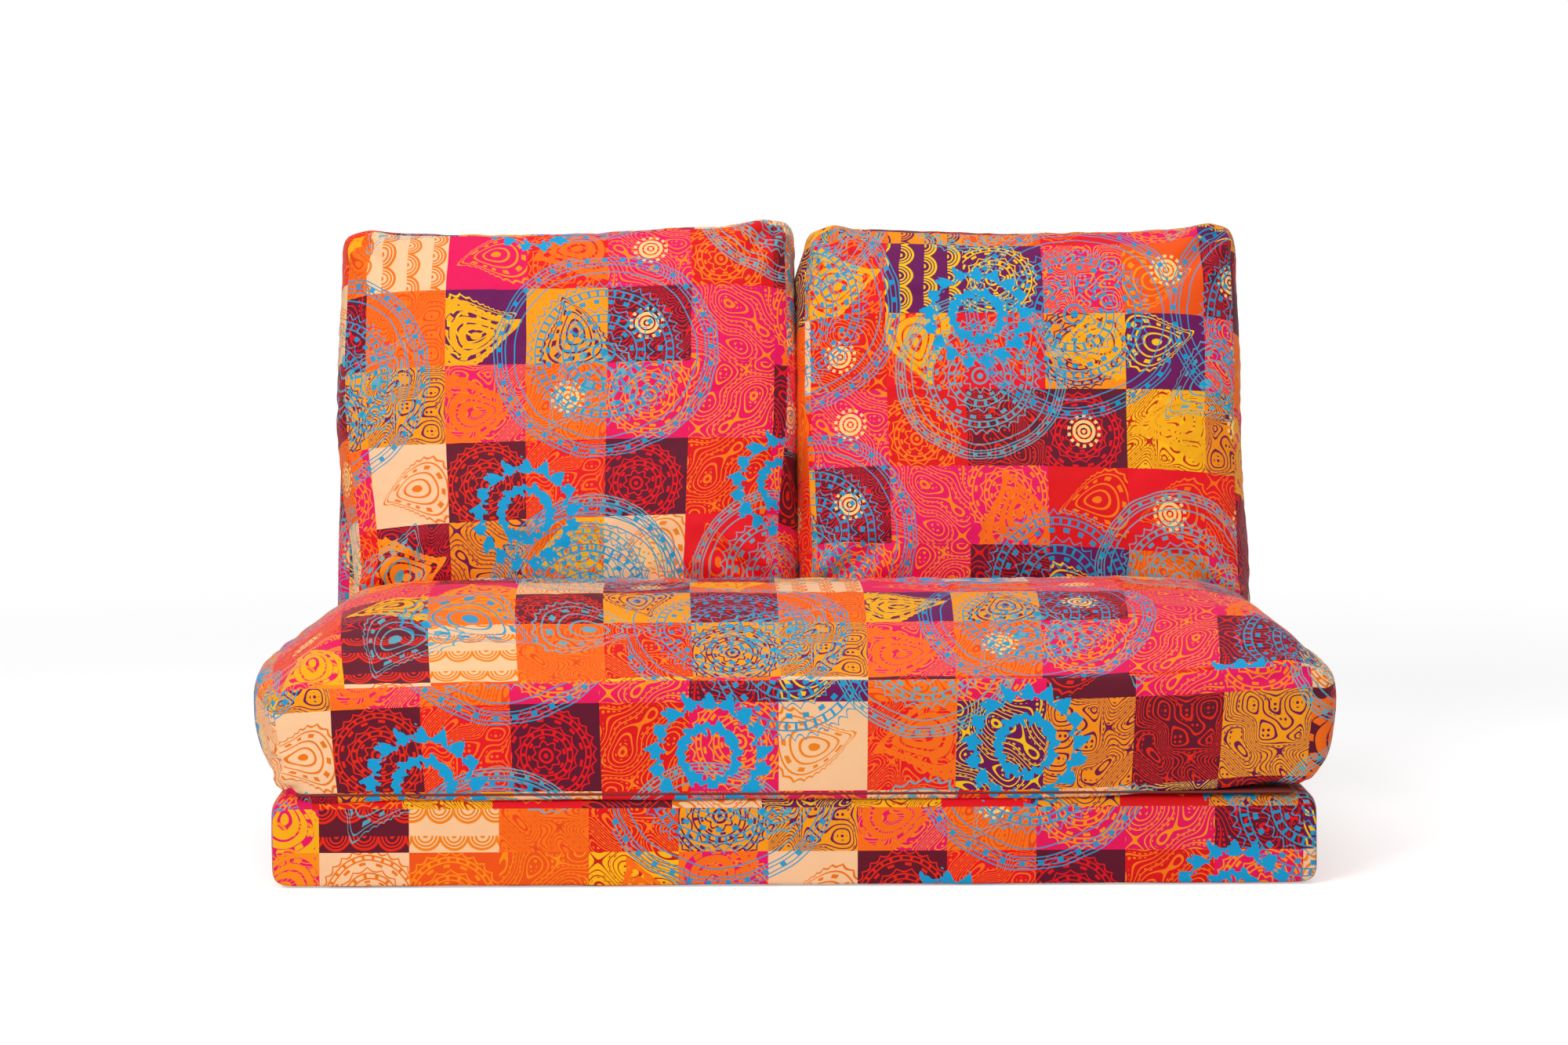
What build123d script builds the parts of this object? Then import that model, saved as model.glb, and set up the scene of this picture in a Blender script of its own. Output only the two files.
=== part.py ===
"""Two-seat floor sofa bed: a puffy seat on a fold-out base slab, a reclining back and two loose cushions.

Millimetres. +X is the sitter's left to right seen from the front, +Y runs to the back and +Z is up.
The origin is the middle of the base slab's underside, which lies on the floor.
"""

from build123d import *
from math import cos, radians, sin
import os

# Driving dimensions
bed_width = 1300.0
base_depth = 650.0
seat_depth = 594.0
slab_thickness = 115.0
slab_edge_radius = 20.0
seat_edge_height = 139.0
seat_crown = 92.0
back_reach = 485.0
back_side_inset = 18.0
recline_angle = 20.0
cover_thickness = 1.5
soft_gap = 0.4

# The fabric hinge along the front edge, between base and seat
tape_thickness = 1.2
tape_gap = 0.6
tape_width = 42.0
tape_side_inset = 12.0
bead_radius = 1.4

# Seat outline: how far the bottom tucks in, and how far each side swells between its corners
seat_end_inset = -4.0
seat_front_inset = 10.0
seat_tuck_x = 26.0
seat_tuck_y = 6.0
seat_swell_height_share = 0.5
seat_side_swell = 44.0
seat_side_swell_bottom = 18.0
seat_side_swell_seam = 26.0
seat_seam_inset = 8.0
seat_front_swell = 7.0
seat_front_swell_bottom = 4.0
seat_front_swell_seam = 5.0
seat_rear_gap = 3.5
crown_reach_x = 250.0
crown_reach_y = 255.0
crown_rise_shares = (0.0, 0.42, 0.76, 0.95, 1.0)
crown_inset_x_shares = (0.0, 0.19, 0.37, 0.64, 1.0)
crown_inset_y_shares = (0.0, 0.21, 0.47, 0.76, 1.0)

# Steel frames: bent tube, cross rails and elastic straps
tube_radius = 11.0
brace_radius = 9.0
tube_wall = 1.2
frame_side_inset = 60.0
frame_bend_radius = 45.0
frame_edge_inset = 60.0
brace_place_share = 0.34
rail_to_pivot = 82.0
cross_rail_inset = 40.0
strap_width = 50.0
strap_thickness = 1.6
strap_count = 5
strap_overlap = 9.0
core_clearance = 0.4

# Ratchet hinge
pivot_radius = 5.0
pivot_clearance = 0.05
pivot_head_radius = 8.5
pivot_head_height = 2.0
ratchet_plate = 5.0
cheek_plate = 3.0
plate_gap = 0.3
tooth_tip_radius = 26.0
tooth_depth = 2.8
ratchet_step_angle = 10.0
ratchet_steps = 7
cheek_radius = 30.0
arm_half_height = 11.0
web_length = 14.0
valley_angle = 272.0
notch_reach_share = 1.1
lug_radius = 9.0
pawl_pin_drop = 30.0
pawl_pin_reach = 29.5
pawl_pin_radius = 3.0
pawl_boss_radius = 7.0
pawl_plate = 4.4
pawl_swing = 7.5
pawl_tip_gap = 0.4
pawl_tip_lead = 1.2
pawl_tip_height = 4.6
pawl_shoulder = (-3.9, -26.6)
pawl_neck_top = (-26.0, -25.4)
pawl_neck_low = (-29.0, -36.0)
spring_leaf = 0.7
spring_length = 20.0
spring_drop = 9.0
hinge_pocket_half = 14.0
hinge_pocket_depth = 64.0
arm_slot_clearance = 0.6

# Loose back cushions
cushion_side_margin = 18.0
cushion_height = 529.0
cushion_edge = 121.0
cushion_front_crown = 33.0
cushion_back_crown = 10.0
cushion_edge_swell = 9.0
cushion_side_bow = 4.0
cushion_top_bow = 6.0
cushion_gap = 4.0
cushion_shift = 10.0
cushion_rise = 80.0
cushion_lean_gap = 0.6
cushion_crown_reach = 165.0
cushion_rise_shares = (0.0, 0.5, 0.85, 1.0)
cushion_inset_shares = (0.0, 0.2, 0.55, 1.0)

# Zips in the cushions' bottom edges
zip_length = 420.0
zip_tape_half = 13.0
zip_tape_thickness = 0.8
zip_tooth_half = 2.6
zip_tooth_height = 1.0
zip_tooth_length = 1.8
zip_tooth_pitch = 3.6
zip_cord_height = 0.5
zip_end_margin = 16.0
zip_slot_clearance = 0.4
slider_length = 13.0
slider_half_width = 4.8
slider_wall = 1.0
slider_gap = 0.25
pull_length = 26.0
pull_half_width = 3.4
pull_window_share = 0.5
pull_thickness = 1.2

# Derived frame
half_width = bed_width / 2
half_depth = base_depth / 2
seat_half_depth = seat_depth / 2
seat_middle = seat_half_depth - half_depth
hinge_level = slab_thickness + tape_thickness + tape_gap / 2
seat_bottom = hinge_level + tape_gap / 2 + tape_thickness
seat_seam = seat_bottom + seat_edge_height
seat_half_x = half_width - seat_end_inset
seat_half_y = seat_half_depth - seat_front_inset
half_slab = slab_thickness / 2
cushion_width = half_width - cushion_side_margin - cushion_gap / 2
back_half_width = half_width - back_side_inset
frame_half_width = half_width - frame_side_inset
brace_place = frame_half_width * brace_place_share
pivot_y = seat_middle + seat_half_depth + seat_rear_gap + half_slab
pivot_z = seat_bottom + half_slab
lean = radians(recline_angle)
up = Vector(0, sin(lean), cos(lean))
front = Vector(0, -cos(lean), sin(lean))
across = Vector(1, 0, 0)
pivot = Vector(0, pivot_y, pivot_z)
seat_plane = Plane(origin=(0, seat_middle, 0))
hinge_places = (-frame_half_width, frame_half_width)
sides = ("left", "right")

os.makedirs("parts", exist_ok=True)


def save(part, name):
    """Labels a finished part and writes it as the node of that name."""
    part.label = name
    export_step(part, f"parts/{name}.step")


def back_plane(x=0.0):
    """Plane across the back at x: its first axis runs up the back and its second to the sitter."""
    return Plane(origin=pivot + across * x, x_dir=up, z_dir=across)


def side_plane(x=0.0):
    """Plane across the seat at x, with its first axis to the back and its second up."""
    return Plane(origin=(x, 0, 0), x_dir=(0, 1, 0), z_dir=(1, 0, 0))


def bowed_edge(start, end, middle):
    """An arc through middle, or a line where middle lies between start and end."""
    flat = abs((Vector(*end) - Vector(*start)).cross(Vector(*middle) - Vector(*start)).Z) < soft_gap
    return Line(start, end) if flat else ThreePointArc(start, middle, end)


def bowed_face(half_x, half_y, bow_x, bow_y, bow_low):
    """A face with four corners joined by arcs that bow outwards."""
    with BuildSketch() as outline:
        with BuildLine():
            bowed_edge((-half_x, -half_y), (half_x, -half_y), (0, -half_y - bow_low))
            bowed_edge((half_x, -half_y), (half_x, half_y), (half_x + bow_x, 0))
            bowed_edge((half_x, half_y), (-half_x, half_y), (0, half_y + bow_y))
            bowed_edge((-half_x, half_y), (-half_x, -half_y), (-half_x - bow_x, 0))
        make_face()
    return outline.sketch_local


def lofted(plane, sections):
    """A solid through bowed outlines: (height, half_x, half_y, bow_x, bow_y, bow_low)."""
    with BuildPart() as body:
        for height, *outline in sections:
            with BuildSketch(plane.offset(height)):
                add(bowed_face(*outline))
        loft()
    return body.part


def shrunk(sections, skin, lower=0.0, upper=0.0):
    """The same outlines drawn in by a skin, with the first and last heights moved by lower and upper."""
    first, last = sections[0][0], sections[-1][0]
    scale = (last + upper - first - lower) / (last - first)
    return [
        (first + lower + (height - first) * scale, half_x - skin, half_y - skin, *bows)
        for height, half_x, half_y, *bows in sections
    ]


def crown_sections(base, height, reach_x, reach_y, rises, insets_x, insets_y):
    """Outlines from a seam to the top of a crown. base is the seam's own section."""
    level, half_x, half_y, *bows = base
    return [
        (level + height * rise, half_x - reach_x * in_x, half_y - reach_y * in_y, *bows)
        for rise, in_x, in_y in zip(rises, insets_x, insets_y)
    ]


def shell(plane, sections, lower=0.0, upper=0.0):
    """A fabric skin along the outlines, open at both ends unless lower or upper close it."""
    with BuildPart() as skin:
        add(lofted(plane, sections))
        add(lofted(plane, shrunk(sections, cover_thickness, lower, upper)), mode=Mode.SUBTRACT)
    return skin.part


def swept_rod(path, radius):
    """A round bar of that radius along a path."""
    with BuildPart() as rod:
        with BuildSketch(Plane(origin=path @ 0, z_dir=path % 0)):
            Circle(radius)
        sweep(path=path)
    return rod.part


def straight_rod(start, end, radius):
    """A round bar from start to end."""
    direction = end - start
    with BuildPart() as rod:
        with BuildSketch(Plane(origin=start, z_dir=direction)):
            Circle(radius)
        extrude(amount=direction.length)
    return rod.part


def frame_lines(length):
    """Centre lines of a section's steel frame, drawn flat: a bent tube, a cross rail and two braces."""
    with BuildLine() as bent:
        FilletPolyline(
            (-frame_half_width, rail_to_pivot),
            (-frame_half_width, length),
            (frame_half_width, length),
            (frame_half_width, rail_to_pivot),
            radius=frame_bend_radius,
        )
    cross = rail_to_pivot + cross_rail_inset
    straights = [(Vector(-frame_half_width, cross), Vector(frame_half_width, cross))]
    straights += [(Vector(x, cross), Vector(x, length)) for x in (-brace_place, brace_place)]
    return bent.line, straights


def frame_bars(length, grow=0.0):
    """Solid bars along every line of a frame, the bent tube thicker than the straights."""
    bent, straights = frame_lines(length)
    bars = swept_rod(bent, tube_radius + grow)
    for start, finish in straights:
        bars = bars + straight_rod(start, finish, brace_radius + grow)
    return bars


def steel_frame(length):
    """Welded frame, drawn flat: the bars with the bores of the bent tube and the rails taken out."""
    bent, straights = frame_lines(length)
    with BuildPart() as frame:
        add(frame_bars(length))
        add(swept_rod(bent, tube_radius - tube_wall), mode=Mode.SUBTRACT)
        for start, finish in straights:
            run = (finish - start).normalized() * tube_radius
            add(straight_rod(start + run, finish - run, brace_radius - tube_wall), mode=Mode.SUBTRACT)
    return frame.part


def straps(length, side, grow=0.0):
    """Elastic straps across a flat frame, above it for side 1 and below it for side -1."""
    first = rail_to_pivot + cross_rail_inset + strap_width
    pitch = (length - strap_width - first) / (strap_count - 1)
    level = side * (tube_radius + core_clearance + strap_thickness / 2)
    with BuildPart() as set_of_straps:
        for step in range(strap_count):
            with BuildSketch(Plane.XY.offset(level)):
                with Locations((0, first + pitch * step)):
                    Rectangle(2 * (frame_half_width + strap_overlap + grow), strap_width + 2 * grow)
            extrude(amount=strap_thickness / 2 + grow, both=True)
    return set_of_straps.part


seat_frame_plane = Plane(origin=pivot, x_dir=across, z_dir=(0, 0, -1))
back_frame_plane = Plane(origin=pivot, x_dir=across, z_dir=front)

# Base slab: foam in a cover of three panels
def slab_block(half_x, low, high, half_y, radius):
    """A slab with rounded long edges, from low to high."""
    with BuildPart() as block:
        with BuildSketch(Plane.XZ.offset(-half_y)):
            with Locations((0, (low + high) / 2)):
                RectangleRounded(2 * half_x, high - low, radius)
        extrude(amount=2 * half_y)
    return block.part


panel_inside = half_depth - cover_thickness
base_outer = slab_block(half_width, 0, slab_thickness, panel_inside, slab_edge_radius)
base_inner = slab_block(
    half_width - cover_thickness,
    cover_thickness,
    slab_thickness - cover_thickness,
    half_depth,
    slab_edge_radius - cover_thickness,
)

with BuildPart() as base_cover_wrap:
    add(base_outer)
    add(base_inner, mode=Mode.SUBTRACT)
save(base_cover_wrap.part, "base_cover_wrap")

for panel_name, panel_y in (("front", -panel_inside), ("rear", half_depth)):
    with BuildPart() as base_panel:
        with BuildSketch(Plane.XZ.offset(-panel_y)):
            with Locations((0, half_slab)):
                RectangleRounded(bed_width, slab_thickness, slab_edge_radius)
        extrude(amount=cover_thickness)
    save(base_panel.part, f"base_cover_{panel_name}")

base_skin = cover_thickness + soft_gap
base_foam = slab_block(
    half_width - base_skin,
    base_skin,
    slab_thickness - base_skin,
    half_depth - base_skin,
    slab_edge_radius - base_skin,
)
save(base_foam, "base_foam")

# Fabric hinge: a tape sewn to each section, folded over a bead on the hinge line
hinge_y = -half_depth
bead_half = half_width - slab_edge_radius - tape_side_inset


def tape_strip(low, start):
    """A strip of tape behind the front edge, resting on the level low."""
    with BuildPart() as strip:
        with BuildSketch(Plane.XY.offset(low)):
            with Locations((0, start + tape_width / 2)):
                Rectangle(2 * bead_half, tape_width)
        extrude(amount=tape_thickness)
    return strip.part


with BuildPart() as hinge_tape_base:
    add(tape_strip(slab_thickness, hinge_y))
    with BuildSketch(side_plane(-bead_half)):
        with Locations((hinge_y, hinge_level)):
            Circle(bead_radius)
    extrude(amount=2 * bead_half)
save(hinge_tape_base.part, "hinge_tape_base")
save(tape_strip(seat_bottom - tape_thickness, hinge_y + bead_radius + soft_gap), "hinge_tape_seat")

# Ratchet hinges: cheeks on the seat, a toothed plate on the back, a pin, a sprung pawl
cheek_inner = ratchet_plate / 2 + plate_gap
cheek_outer = cheek_inner + cheek_plate
tooth_root_radius = tooth_tip_radius - tooth_depth
pin_hole = pivot_radius + pivot_clearance
pawl_hole = pawl_pin_radius + pivot_clearance
arm_end = pivot_y - rail_to_pivot


def polar(radius, angle):
    """A point round the pivot in a plane across the seat, angle in degrees from the rear."""
    return radius * cos(radians(angle)), radius * sin(radians(angle))


def plate(x, outline, thickness):
    """A plate across the seat centred on x, from a sketch drawn round the pivot."""
    with BuildPart() as sheet:
        with BuildSketch(Plane(origin=pivot + across * x, x_dir=(0, 1, 0), z_dir=across)):
            add(outline)
        extrude(amount=thickness / 2, both=True)
    return sheet.part


def ratchet_outline():
    """Toothed plate on the back, drawn with the back at rest."""
    reach = tooth_tip_radius * notch_reach_share
    with BuildSketch() as outline:
        Circle(tooth_tip_radius)
        for step in range(-1, ratchet_steps):
            tip = valley_angle + ratchet_step_angle * step
            valley = tip + ratchet_step_angle
            corners = [polar(tooth_tip_radius, tip), polar(tooth_root_radius, valley)]
            corners += [polar(reach, valley), polar(reach, tip)]
            with BuildLine():
                Polyline(*corners, close=True)
            make_face(mode=Mode.SUBTRACT)
        with Locations(Location((0, 0), 90 - recline_angle)):
            Rectangle(rail_to_pivot, 2 * arm_half_height, align=(Align.MIN, Align.CENTER))
        Circle(pin_hole, mode=Mode.SUBTRACT)
    return outline.sketch_local


def cheek_outline():
    """Side plate of the seat's bracket with a lug for the pawl's pin."""
    with BuildSketch() as outline:
        Circle(cheek_radius)
        with Locations((-pawl_pin_reach, -pawl_pin_drop)):
            Circle(lug_radius)
        with BuildLine():
            Polyline(
                (-cheek_radius, 0),
                (-pawl_pin_reach - lug_radius, -pawl_pin_drop),
                (-pawl_pin_reach, -pawl_pin_drop - lug_radius),
                (0, -cheek_radius),
                close=True,
            )
        make_face()
        Rectangle(rail_to_pivot, 2 * arm_half_height, align=(Align.MAX, Align.CENTER))
        Circle(pin_hole, mode=Mode.SUBTRACT)
        with Locations((-pawl_pin_reach, -pawl_pin_drop)):
            Circle(pawl_hole, mode=Mode.SUBTRACT)
    return outline.sketch_local


def pawl_outline():
    """Pawl in the valley it holds; it is swung clear of the teeth about its pin afterwards."""
    tip_angle = valley_angle - pawl_tip_lead
    tip_top = tooth_root_radius + pawl_tip_gap
    with BuildSketch() as outline:
        with BuildLine():
            Polyline(
                polar(tip_top, tip_angle),
                pawl_shoulder,
                pawl_neck_top,
                pawl_neck_low,
                polar(tip_top + pawl_tip_height, tip_angle),
                close=True,
            )
        make_face()
        with Locations((-pawl_pin_reach, -pawl_pin_drop)):
            Circle(pawl_boss_radius)
            Circle(pawl_hole, mode=Mode.SUBTRACT)
    return outline.sketch_local


def headed_pin(x, reach, drop, radius, head):
    """A pin through both cheeks with a head on each end."""
    with BuildPart() as pin:
        with BuildSketch(Plane(origin=pivot + Vector(x, -reach, -drop), x_dir=(0, 1, 0), z_dir=across)):
            Circle(radius)
        extrude(amount=cheek_outer, both=True)
        for start in (-cheek_outer - pivot_head_height, cheek_outer):
            place = pivot + Vector(x + start, -reach, -drop)
            with BuildSketch(Plane(origin=place, x_dir=(0, 1, 0), z_dir=across)):
                Circle(head)
            extrude(amount=pivot_head_height)
    return pin.part


pawl_axis = Axis(pivot + Vector(0, -pawl_pin_reach, -pawl_pin_drop), across)
for side, x in zip(sides, hinge_places):
    save(plate(x, ratchet_outline(), ratchet_plate), f"ratchet_plate_{side}")

    with BuildPart() as bracket:
        for hand in (-1, 1):
            add(plate(x + hand * (cheek_inner + cheek_plate / 2), cheek_outline(), cheek_plate))
        with BuildSketch(Plane.XZ.offset(-arm_end)):
            with Locations((x, pivot_z)):
                Rectangle(2 * cheek_outer, 2 * arm_half_height)
        extrude(amount=-web_length)
    save(bracket.part, f"hinge_bracket_{side}")

    save(headed_pin(x, 0, 0, pivot_radius, pivot_head_radius), f"pivot_pin_{side}")
    lug_pin = headed_pin(x, pawl_pin_reach, pawl_pin_drop, pawl_pin_radius, pawl_boss_radius - pivot_head_height)
    save(lug_pin, f"pawl_pin_{side}")

    pawl = plate(x, pawl_outline(), pawl_plate).rotate(pawl_axis, -pawl_swing)
    save(pawl, f"pawl_{side}")

    with BuildPart() as spring:
        place = pivot + Vector(x, -pawl_pin_reach, -pawl_pin_drop - spring_drop)
        with BuildSketch(Plane(origin=place, x_dir=(0, 1, 0), z_dir=across)):
            Rectangle(spring_length, spring_leaf, align=(Align.MIN, Align.MAX))
        extrude(amount=cheek_inner, both=True)
    save(spring.part, f"pawl_spring_{side}")

# Seat: crowned cover over wadding, foam, straps and a steel frame
swell_level = seat_bottom + seat_edge_height * seat_swell_height_share
seat_band = [
    (
        seat_bottom,
        seat_half_x - seat_tuck_x,
        seat_half_y - seat_tuck_y,
        seat_side_swell_bottom,
        seat_front_swell_bottom,
        seat_front_swell_bottom,
    ),
    (swell_level, seat_half_x, seat_half_y, seat_side_swell, seat_front_swell, seat_front_swell),
    (
        seat_seam,
        seat_half_x - seat_seam_inset,
        seat_half_y,
        seat_side_swell_seam,
        seat_front_swell_seam,
        seat_front_swell_seam,
    ),
]
seat_dome = crown_sections(
    seat_band[-1],
    seat_crown,
    crown_reach_x,
    crown_reach_y,
    crown_rise_shares,
    crown_inset_x_shares,
    crown_inset_y_shares,
)


def arm_slots(distance):
    """Slots through the rear of the seat for the hinge brackets, from the frame to the rear."""
    with BuildPart() as slots:
        with BuildSketch(Plane.XZ.offset(-arm_end)):
            with Locations(*[(x, pivot_z) for x in hinge_places]):
                Rectangle(2 * (cheek_outer + arm_slot_clearance), 2 * (arm_half_height + arm_slot_clearance))
        extrude(amount=-distance)
    return slots.part


seat_slots = arm_slots(rail_to_pivot)
with BuildPart() as seat_cover_boxing:
    add(shell(seat_plane, seat_band))
    add(seat_slots, mode=Mode.SUBTRACT)
save(seat_cover_boxing.part, "seat_cover_boxing")
save(shell(seat_plane, seat_dome, upper=-cover_thickness), "seat_cover_top")

with BuildPart() as seat_cover_bottom:
    with BuildSketch(seat_plane.offset(seat_bottom)):
        add(bowed_face(*[v - cover_thickness for v in seat_band[0][1:3]], *seat_band[0][3:]))
    extrude(amount=cover_thickness)
save(seat_cover_bottom.part, "seat_cover_bottom")

seat_skin = cover_thickness + soft_gap
seat_length = pivot_y + half_depth - frame_edge_inset
save(seat_frame_plane.location * steel_frame(seat_length), "seat_frame")
save(seat_frame_plane.location * straps(seat_length, -1), "seat_straps")
with BuildPart() as seat_foam:
    add(lofted(seat_plane, shrunk(seat_band, seat_skin, seat_skin, 0)))
    add(seat_frame_plane.location * frame_bars(seat_length, core_clearance), mode=Mode.SUBTRACT)
    add(seat_frame_plane.location * straps(seat_length, -1, core_clearance), mode=Mode.SUBTRACT)
    add(seat_slots, mode=Mode.SUBTRACT)
save(seat_foam.part, "seat_foam")
save(lofted(seat_plane, shrunk(seat_dome, seat_skin, 0, -seat_skin)), "seat_wadding")


# Back: a crisp slab with a half-round foot about the pivot
def back_profile(inset):
    """Side outline of the back, drawn in by inset."""
    half = half_slab - inset
    with BuildSketch() as outline:
        Rectangle(back_reach - inset, 2 * half, align=(Align.MIN, Align.CENTER))
        fillet(outline.vertices().group_by(Axis.X)[-1], slab_edge_radius - inset)
        Circle(half)
    return outline.sketch_local


def back_block(x, width, inset=0.0):
    """The back's outline carried across a width from x."""
    with BuildPart() as block:
        with BuildSketch(back_plane(x)):
            add(back_profile(inset))
        extrude(amount=width)
    return block.part


def hinge_pockets():
    """Pockets in the foot of the back that the ratchet hinges turn in."""
    with BuildPart() as pockets:
        for x in hinge_places:
            with BuildSketch(back_plane(x)):
                with Locations((hinge_pocket_depth, 0)):
                    Rectangle(
                        hinge_pocket_depth + slab_thickness,
                        2 * slab_thickness,
                        align=(Align.MAX, Align.CENTER),
                    )
            extrude(amount=hinge_pocket_half, both=True)
    return pockets.part


pockets = hinge_pockets()
with BuildPart() as back_cover_wrap:
    add(back_block(-back_half_width + cover_thickness, 2 * (back_half_width - cover_thickness)))
    add(back_block(-back_half_width, 2 * back_half_width, cover_thickness), mode=Mode.SUBTRACT)
    add(pockets, mode=Mode.SUBTRACT)
save(back_cover_wrap.part, "back_cover_wrap")
for side, x in zip(sides, (-back_half_width, back_half_width - cover_thickness)):
    save(back_block(x, cover_thickness), f"back_cover_end_{side}")

back_length = back_reach - frame_edge_inset
save(back_frame_plane.location * steel_frame(back_length), "back_frame")
save(back_frame_plane.location * straps(back_length, 1), "back_straps")
with BuildPart() as back_foam:
    add(back_block(-back_half_width + base_skin, 2 * (back_half_width - base_skin), base_skin))
    add(back_frame_plane.location * frame_bars(back_length, core_clearance), mode=Mode.SUBTRACT)
    add(back_frame_plane.location * straps(back_length, 1, core_clearance), mode=Mode.SUBTRACT)
    add(pockets, mode=Mode.SUBTRACT)
    for x in hinge_places:
        with BuildSketch(back_plane(x)):
            Rectangle(rail_to_pivot, 2 * (arm_half_height + arm_slot_clearance), align=(Align.MIN, Align.CENTER))
        extrude(amount=ratchet_plate / 2 + arm_slot_clearance, both=True, mode=Mode.SUBTRACT)
save(back_foam.part, "back_foam")

# Cushions: crowned box cushions leaning on the back, each with a zip in its bottom edge
back_seam_level = half_slab + cushion_lean_gap + cushion_back_crown
front_seam_level = back_seam_level + cushion_edge
cushion_half_x = cushion_width / 2 - cushion_side_bow
cushion_half_y = cushion_height / 2
cushion_bows = (cushion_side_bow, cushion_top_bow, 0.0)
cushion_band = [
    (back_seam_level, cushion_half_x - cushion_edge_swell, cushion_half_y - cushion_edge_swell, *cushion_bows),
    ((back_seam_level + front_seam_level) / 2, cushion_half_x, cushion_half_y, *cushion_bows),
    (front_seam_level, cushion_half_x - cushion_edge_swell, cushion_half_y - cushion_edge_swell, *cushion_bows),
]
cushion_dome = crown_sections(
    cushion_band[-1],
    cushion_front_crown,
    cushion_crown_reach,
    cushion_crown_reach,
    cushion_rise_shares,
    cushion_inset_shares,
    cushion_inset_shares,
)
cushion_back = crown_sections(
    cushion_band[0],
    -cushion_back_crown,
    cushion_crown_reach,
    cushion_crown_reach,
    cushion_rise_shares,
    cushion_inset_shares,
    cushion_inset_shares,
)
zip_level = (back_seam_level + front_seam_level) / 2
zip_shelf = -cushion_half_y
chain_length = zip_length - 2 * zip_end_margin
tooth_count = int(chain_length / zip_tooth_pitch)
slider_place = (chain_length - slider_length) / 2
slider_inside = slider_gap + zip_tooth_height
slider_depth = slider_inside + slider_gap + slider_wall


def zip_chain(under):
    """A zip's tape with a cord and teeth below it, all one piece."""
    with BuildPart() as chain:
        with BuildSketch(under):
            Rectangle(zip_length, 2 * zip_tape_half)
        extrude(amount=zip_tape_thickness)
        with BuildSketch(under):
            Rectangle(chain_length, 2 * zip_tooth_half)
        extrude(amount=-zip_cord_height)
        with BuildSketch(under.offset(-zip_cord_height)):
            with GridLocations(zip_tooth_pitch, 0, tooth_count, 1):
                Rectangle(zip_tooth_length, 2 * zip_tooth_half)
        extrude(amount=-(zip_tooth_height - zip_cord_height))
    return chain.part


def zip_slider(under, sign):
    """A slider that straddles the teeth at the inner end, with its pull lying along the chain."""
    place = -sign * slider_place
    with BuildPart() as slider:
        with BuildSketch(under.offset(-slider_gap)):
            with Locations((place, 0)):
                RectangleRounded(slider_length, 2 * slider_half_width, pull_half_width)
        extrude(amount=slider_gap - slider_depth)
        with BuildSketch(under):
            with Locations((place, 0)):
                Rectangle(2 * slider_length, 2 * (zip_tooth_half + slider_gap))
        extrude(amount=-slider_inside, mode=Mode.SUBTRACT)
        with BuildSketch(under.offset(-slider_depth)):
            with Locations((place + sign * pull_length / 2, 0)):
                SlotOverall(pull_length, 2 * pull_half_width)
            with Locations((place + sign * (pull_length - 2 * pull_half_width), 0)):
                Circle(pull_half_width * pull_window_share, mode=Mode.SUBTRACT)
        extrude(amount=-pull_thickness)
    return slider.part


for side, sign in zip(sides, (-1, 1)):
    middle = cushion_shift + sign * (cushion_width + cushion_gap) / 2
    spot = pivot + up * (cushion_rise + cushion_half_y) + across * middle
    plane = Plane(origin=spot, x_dir=across, z_dir=front)
    under = Plane(origin=plane.from_local_coords(Vector(0, zip_shelf, zip_level)), x_dir=across, z_dir=up)

    with BuildPart() as zip_opening:
        with BuildSketch(under):
            Rectangle(zip_length + 2 * zip_slot_clearance, 2 * (zip_tape_half + zip_slot_clearance))
        extrude(amount=2 * cover_thickness, both=True)
    with BuildPart() as boxing:
        add(shell(plane, cushion_band))
        add(zip_opening.part, mode=Mode.SUBTRACT)
    save(boxing.part, f"cushion_{side}_boxing")
    save(shell(plane, cushion_dome, upper=-cover_thickness), f"cushion_{side}_front")
    save(shell(plane, cushion_back, upper=cover_thickness), f"cushion_{side}_rear")

    with BuildPart() as fill:
        add(lofted(plane, shrunk(cushion_band, seat_skin)))
        add(lofted(plane, shrunk(cushion_dome, seat_skin, 0, -seat_skin)))
        add(lofted(plane, shrunk(cushion_back, seat_skin, 0, seat_skin)))
    save(fill.part, f"cushion_{side}_fill")

    save(zip_chain(under), f"cushion_{side}_zip")
    save(zip_slider(under, sign), f"cushion_{side}_zip_slider")
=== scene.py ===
"""Dresses the sofa bed: printed covers, puffed cushions, steel hinges, light and camera."""

import math

import bpy
import numpy as np
from mathutils import Matrix, Vector, kdtree, noise


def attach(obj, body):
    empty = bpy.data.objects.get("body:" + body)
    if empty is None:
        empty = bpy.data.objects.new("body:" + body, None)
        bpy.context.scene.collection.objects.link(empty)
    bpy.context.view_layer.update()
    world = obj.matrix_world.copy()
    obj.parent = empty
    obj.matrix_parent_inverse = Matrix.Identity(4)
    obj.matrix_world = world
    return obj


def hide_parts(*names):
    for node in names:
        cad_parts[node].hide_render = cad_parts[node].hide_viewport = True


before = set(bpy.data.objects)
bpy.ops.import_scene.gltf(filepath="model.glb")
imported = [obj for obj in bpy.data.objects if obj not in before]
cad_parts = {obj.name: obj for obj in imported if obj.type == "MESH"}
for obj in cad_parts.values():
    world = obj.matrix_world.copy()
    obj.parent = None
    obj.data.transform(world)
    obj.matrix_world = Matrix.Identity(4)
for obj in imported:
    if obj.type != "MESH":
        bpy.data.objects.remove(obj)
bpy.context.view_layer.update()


def operation_of(name):
    """A method that applies one operation of the Math node to a value and what it is called with."""
    return lambda self, *others: self.math(name, *others)


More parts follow.
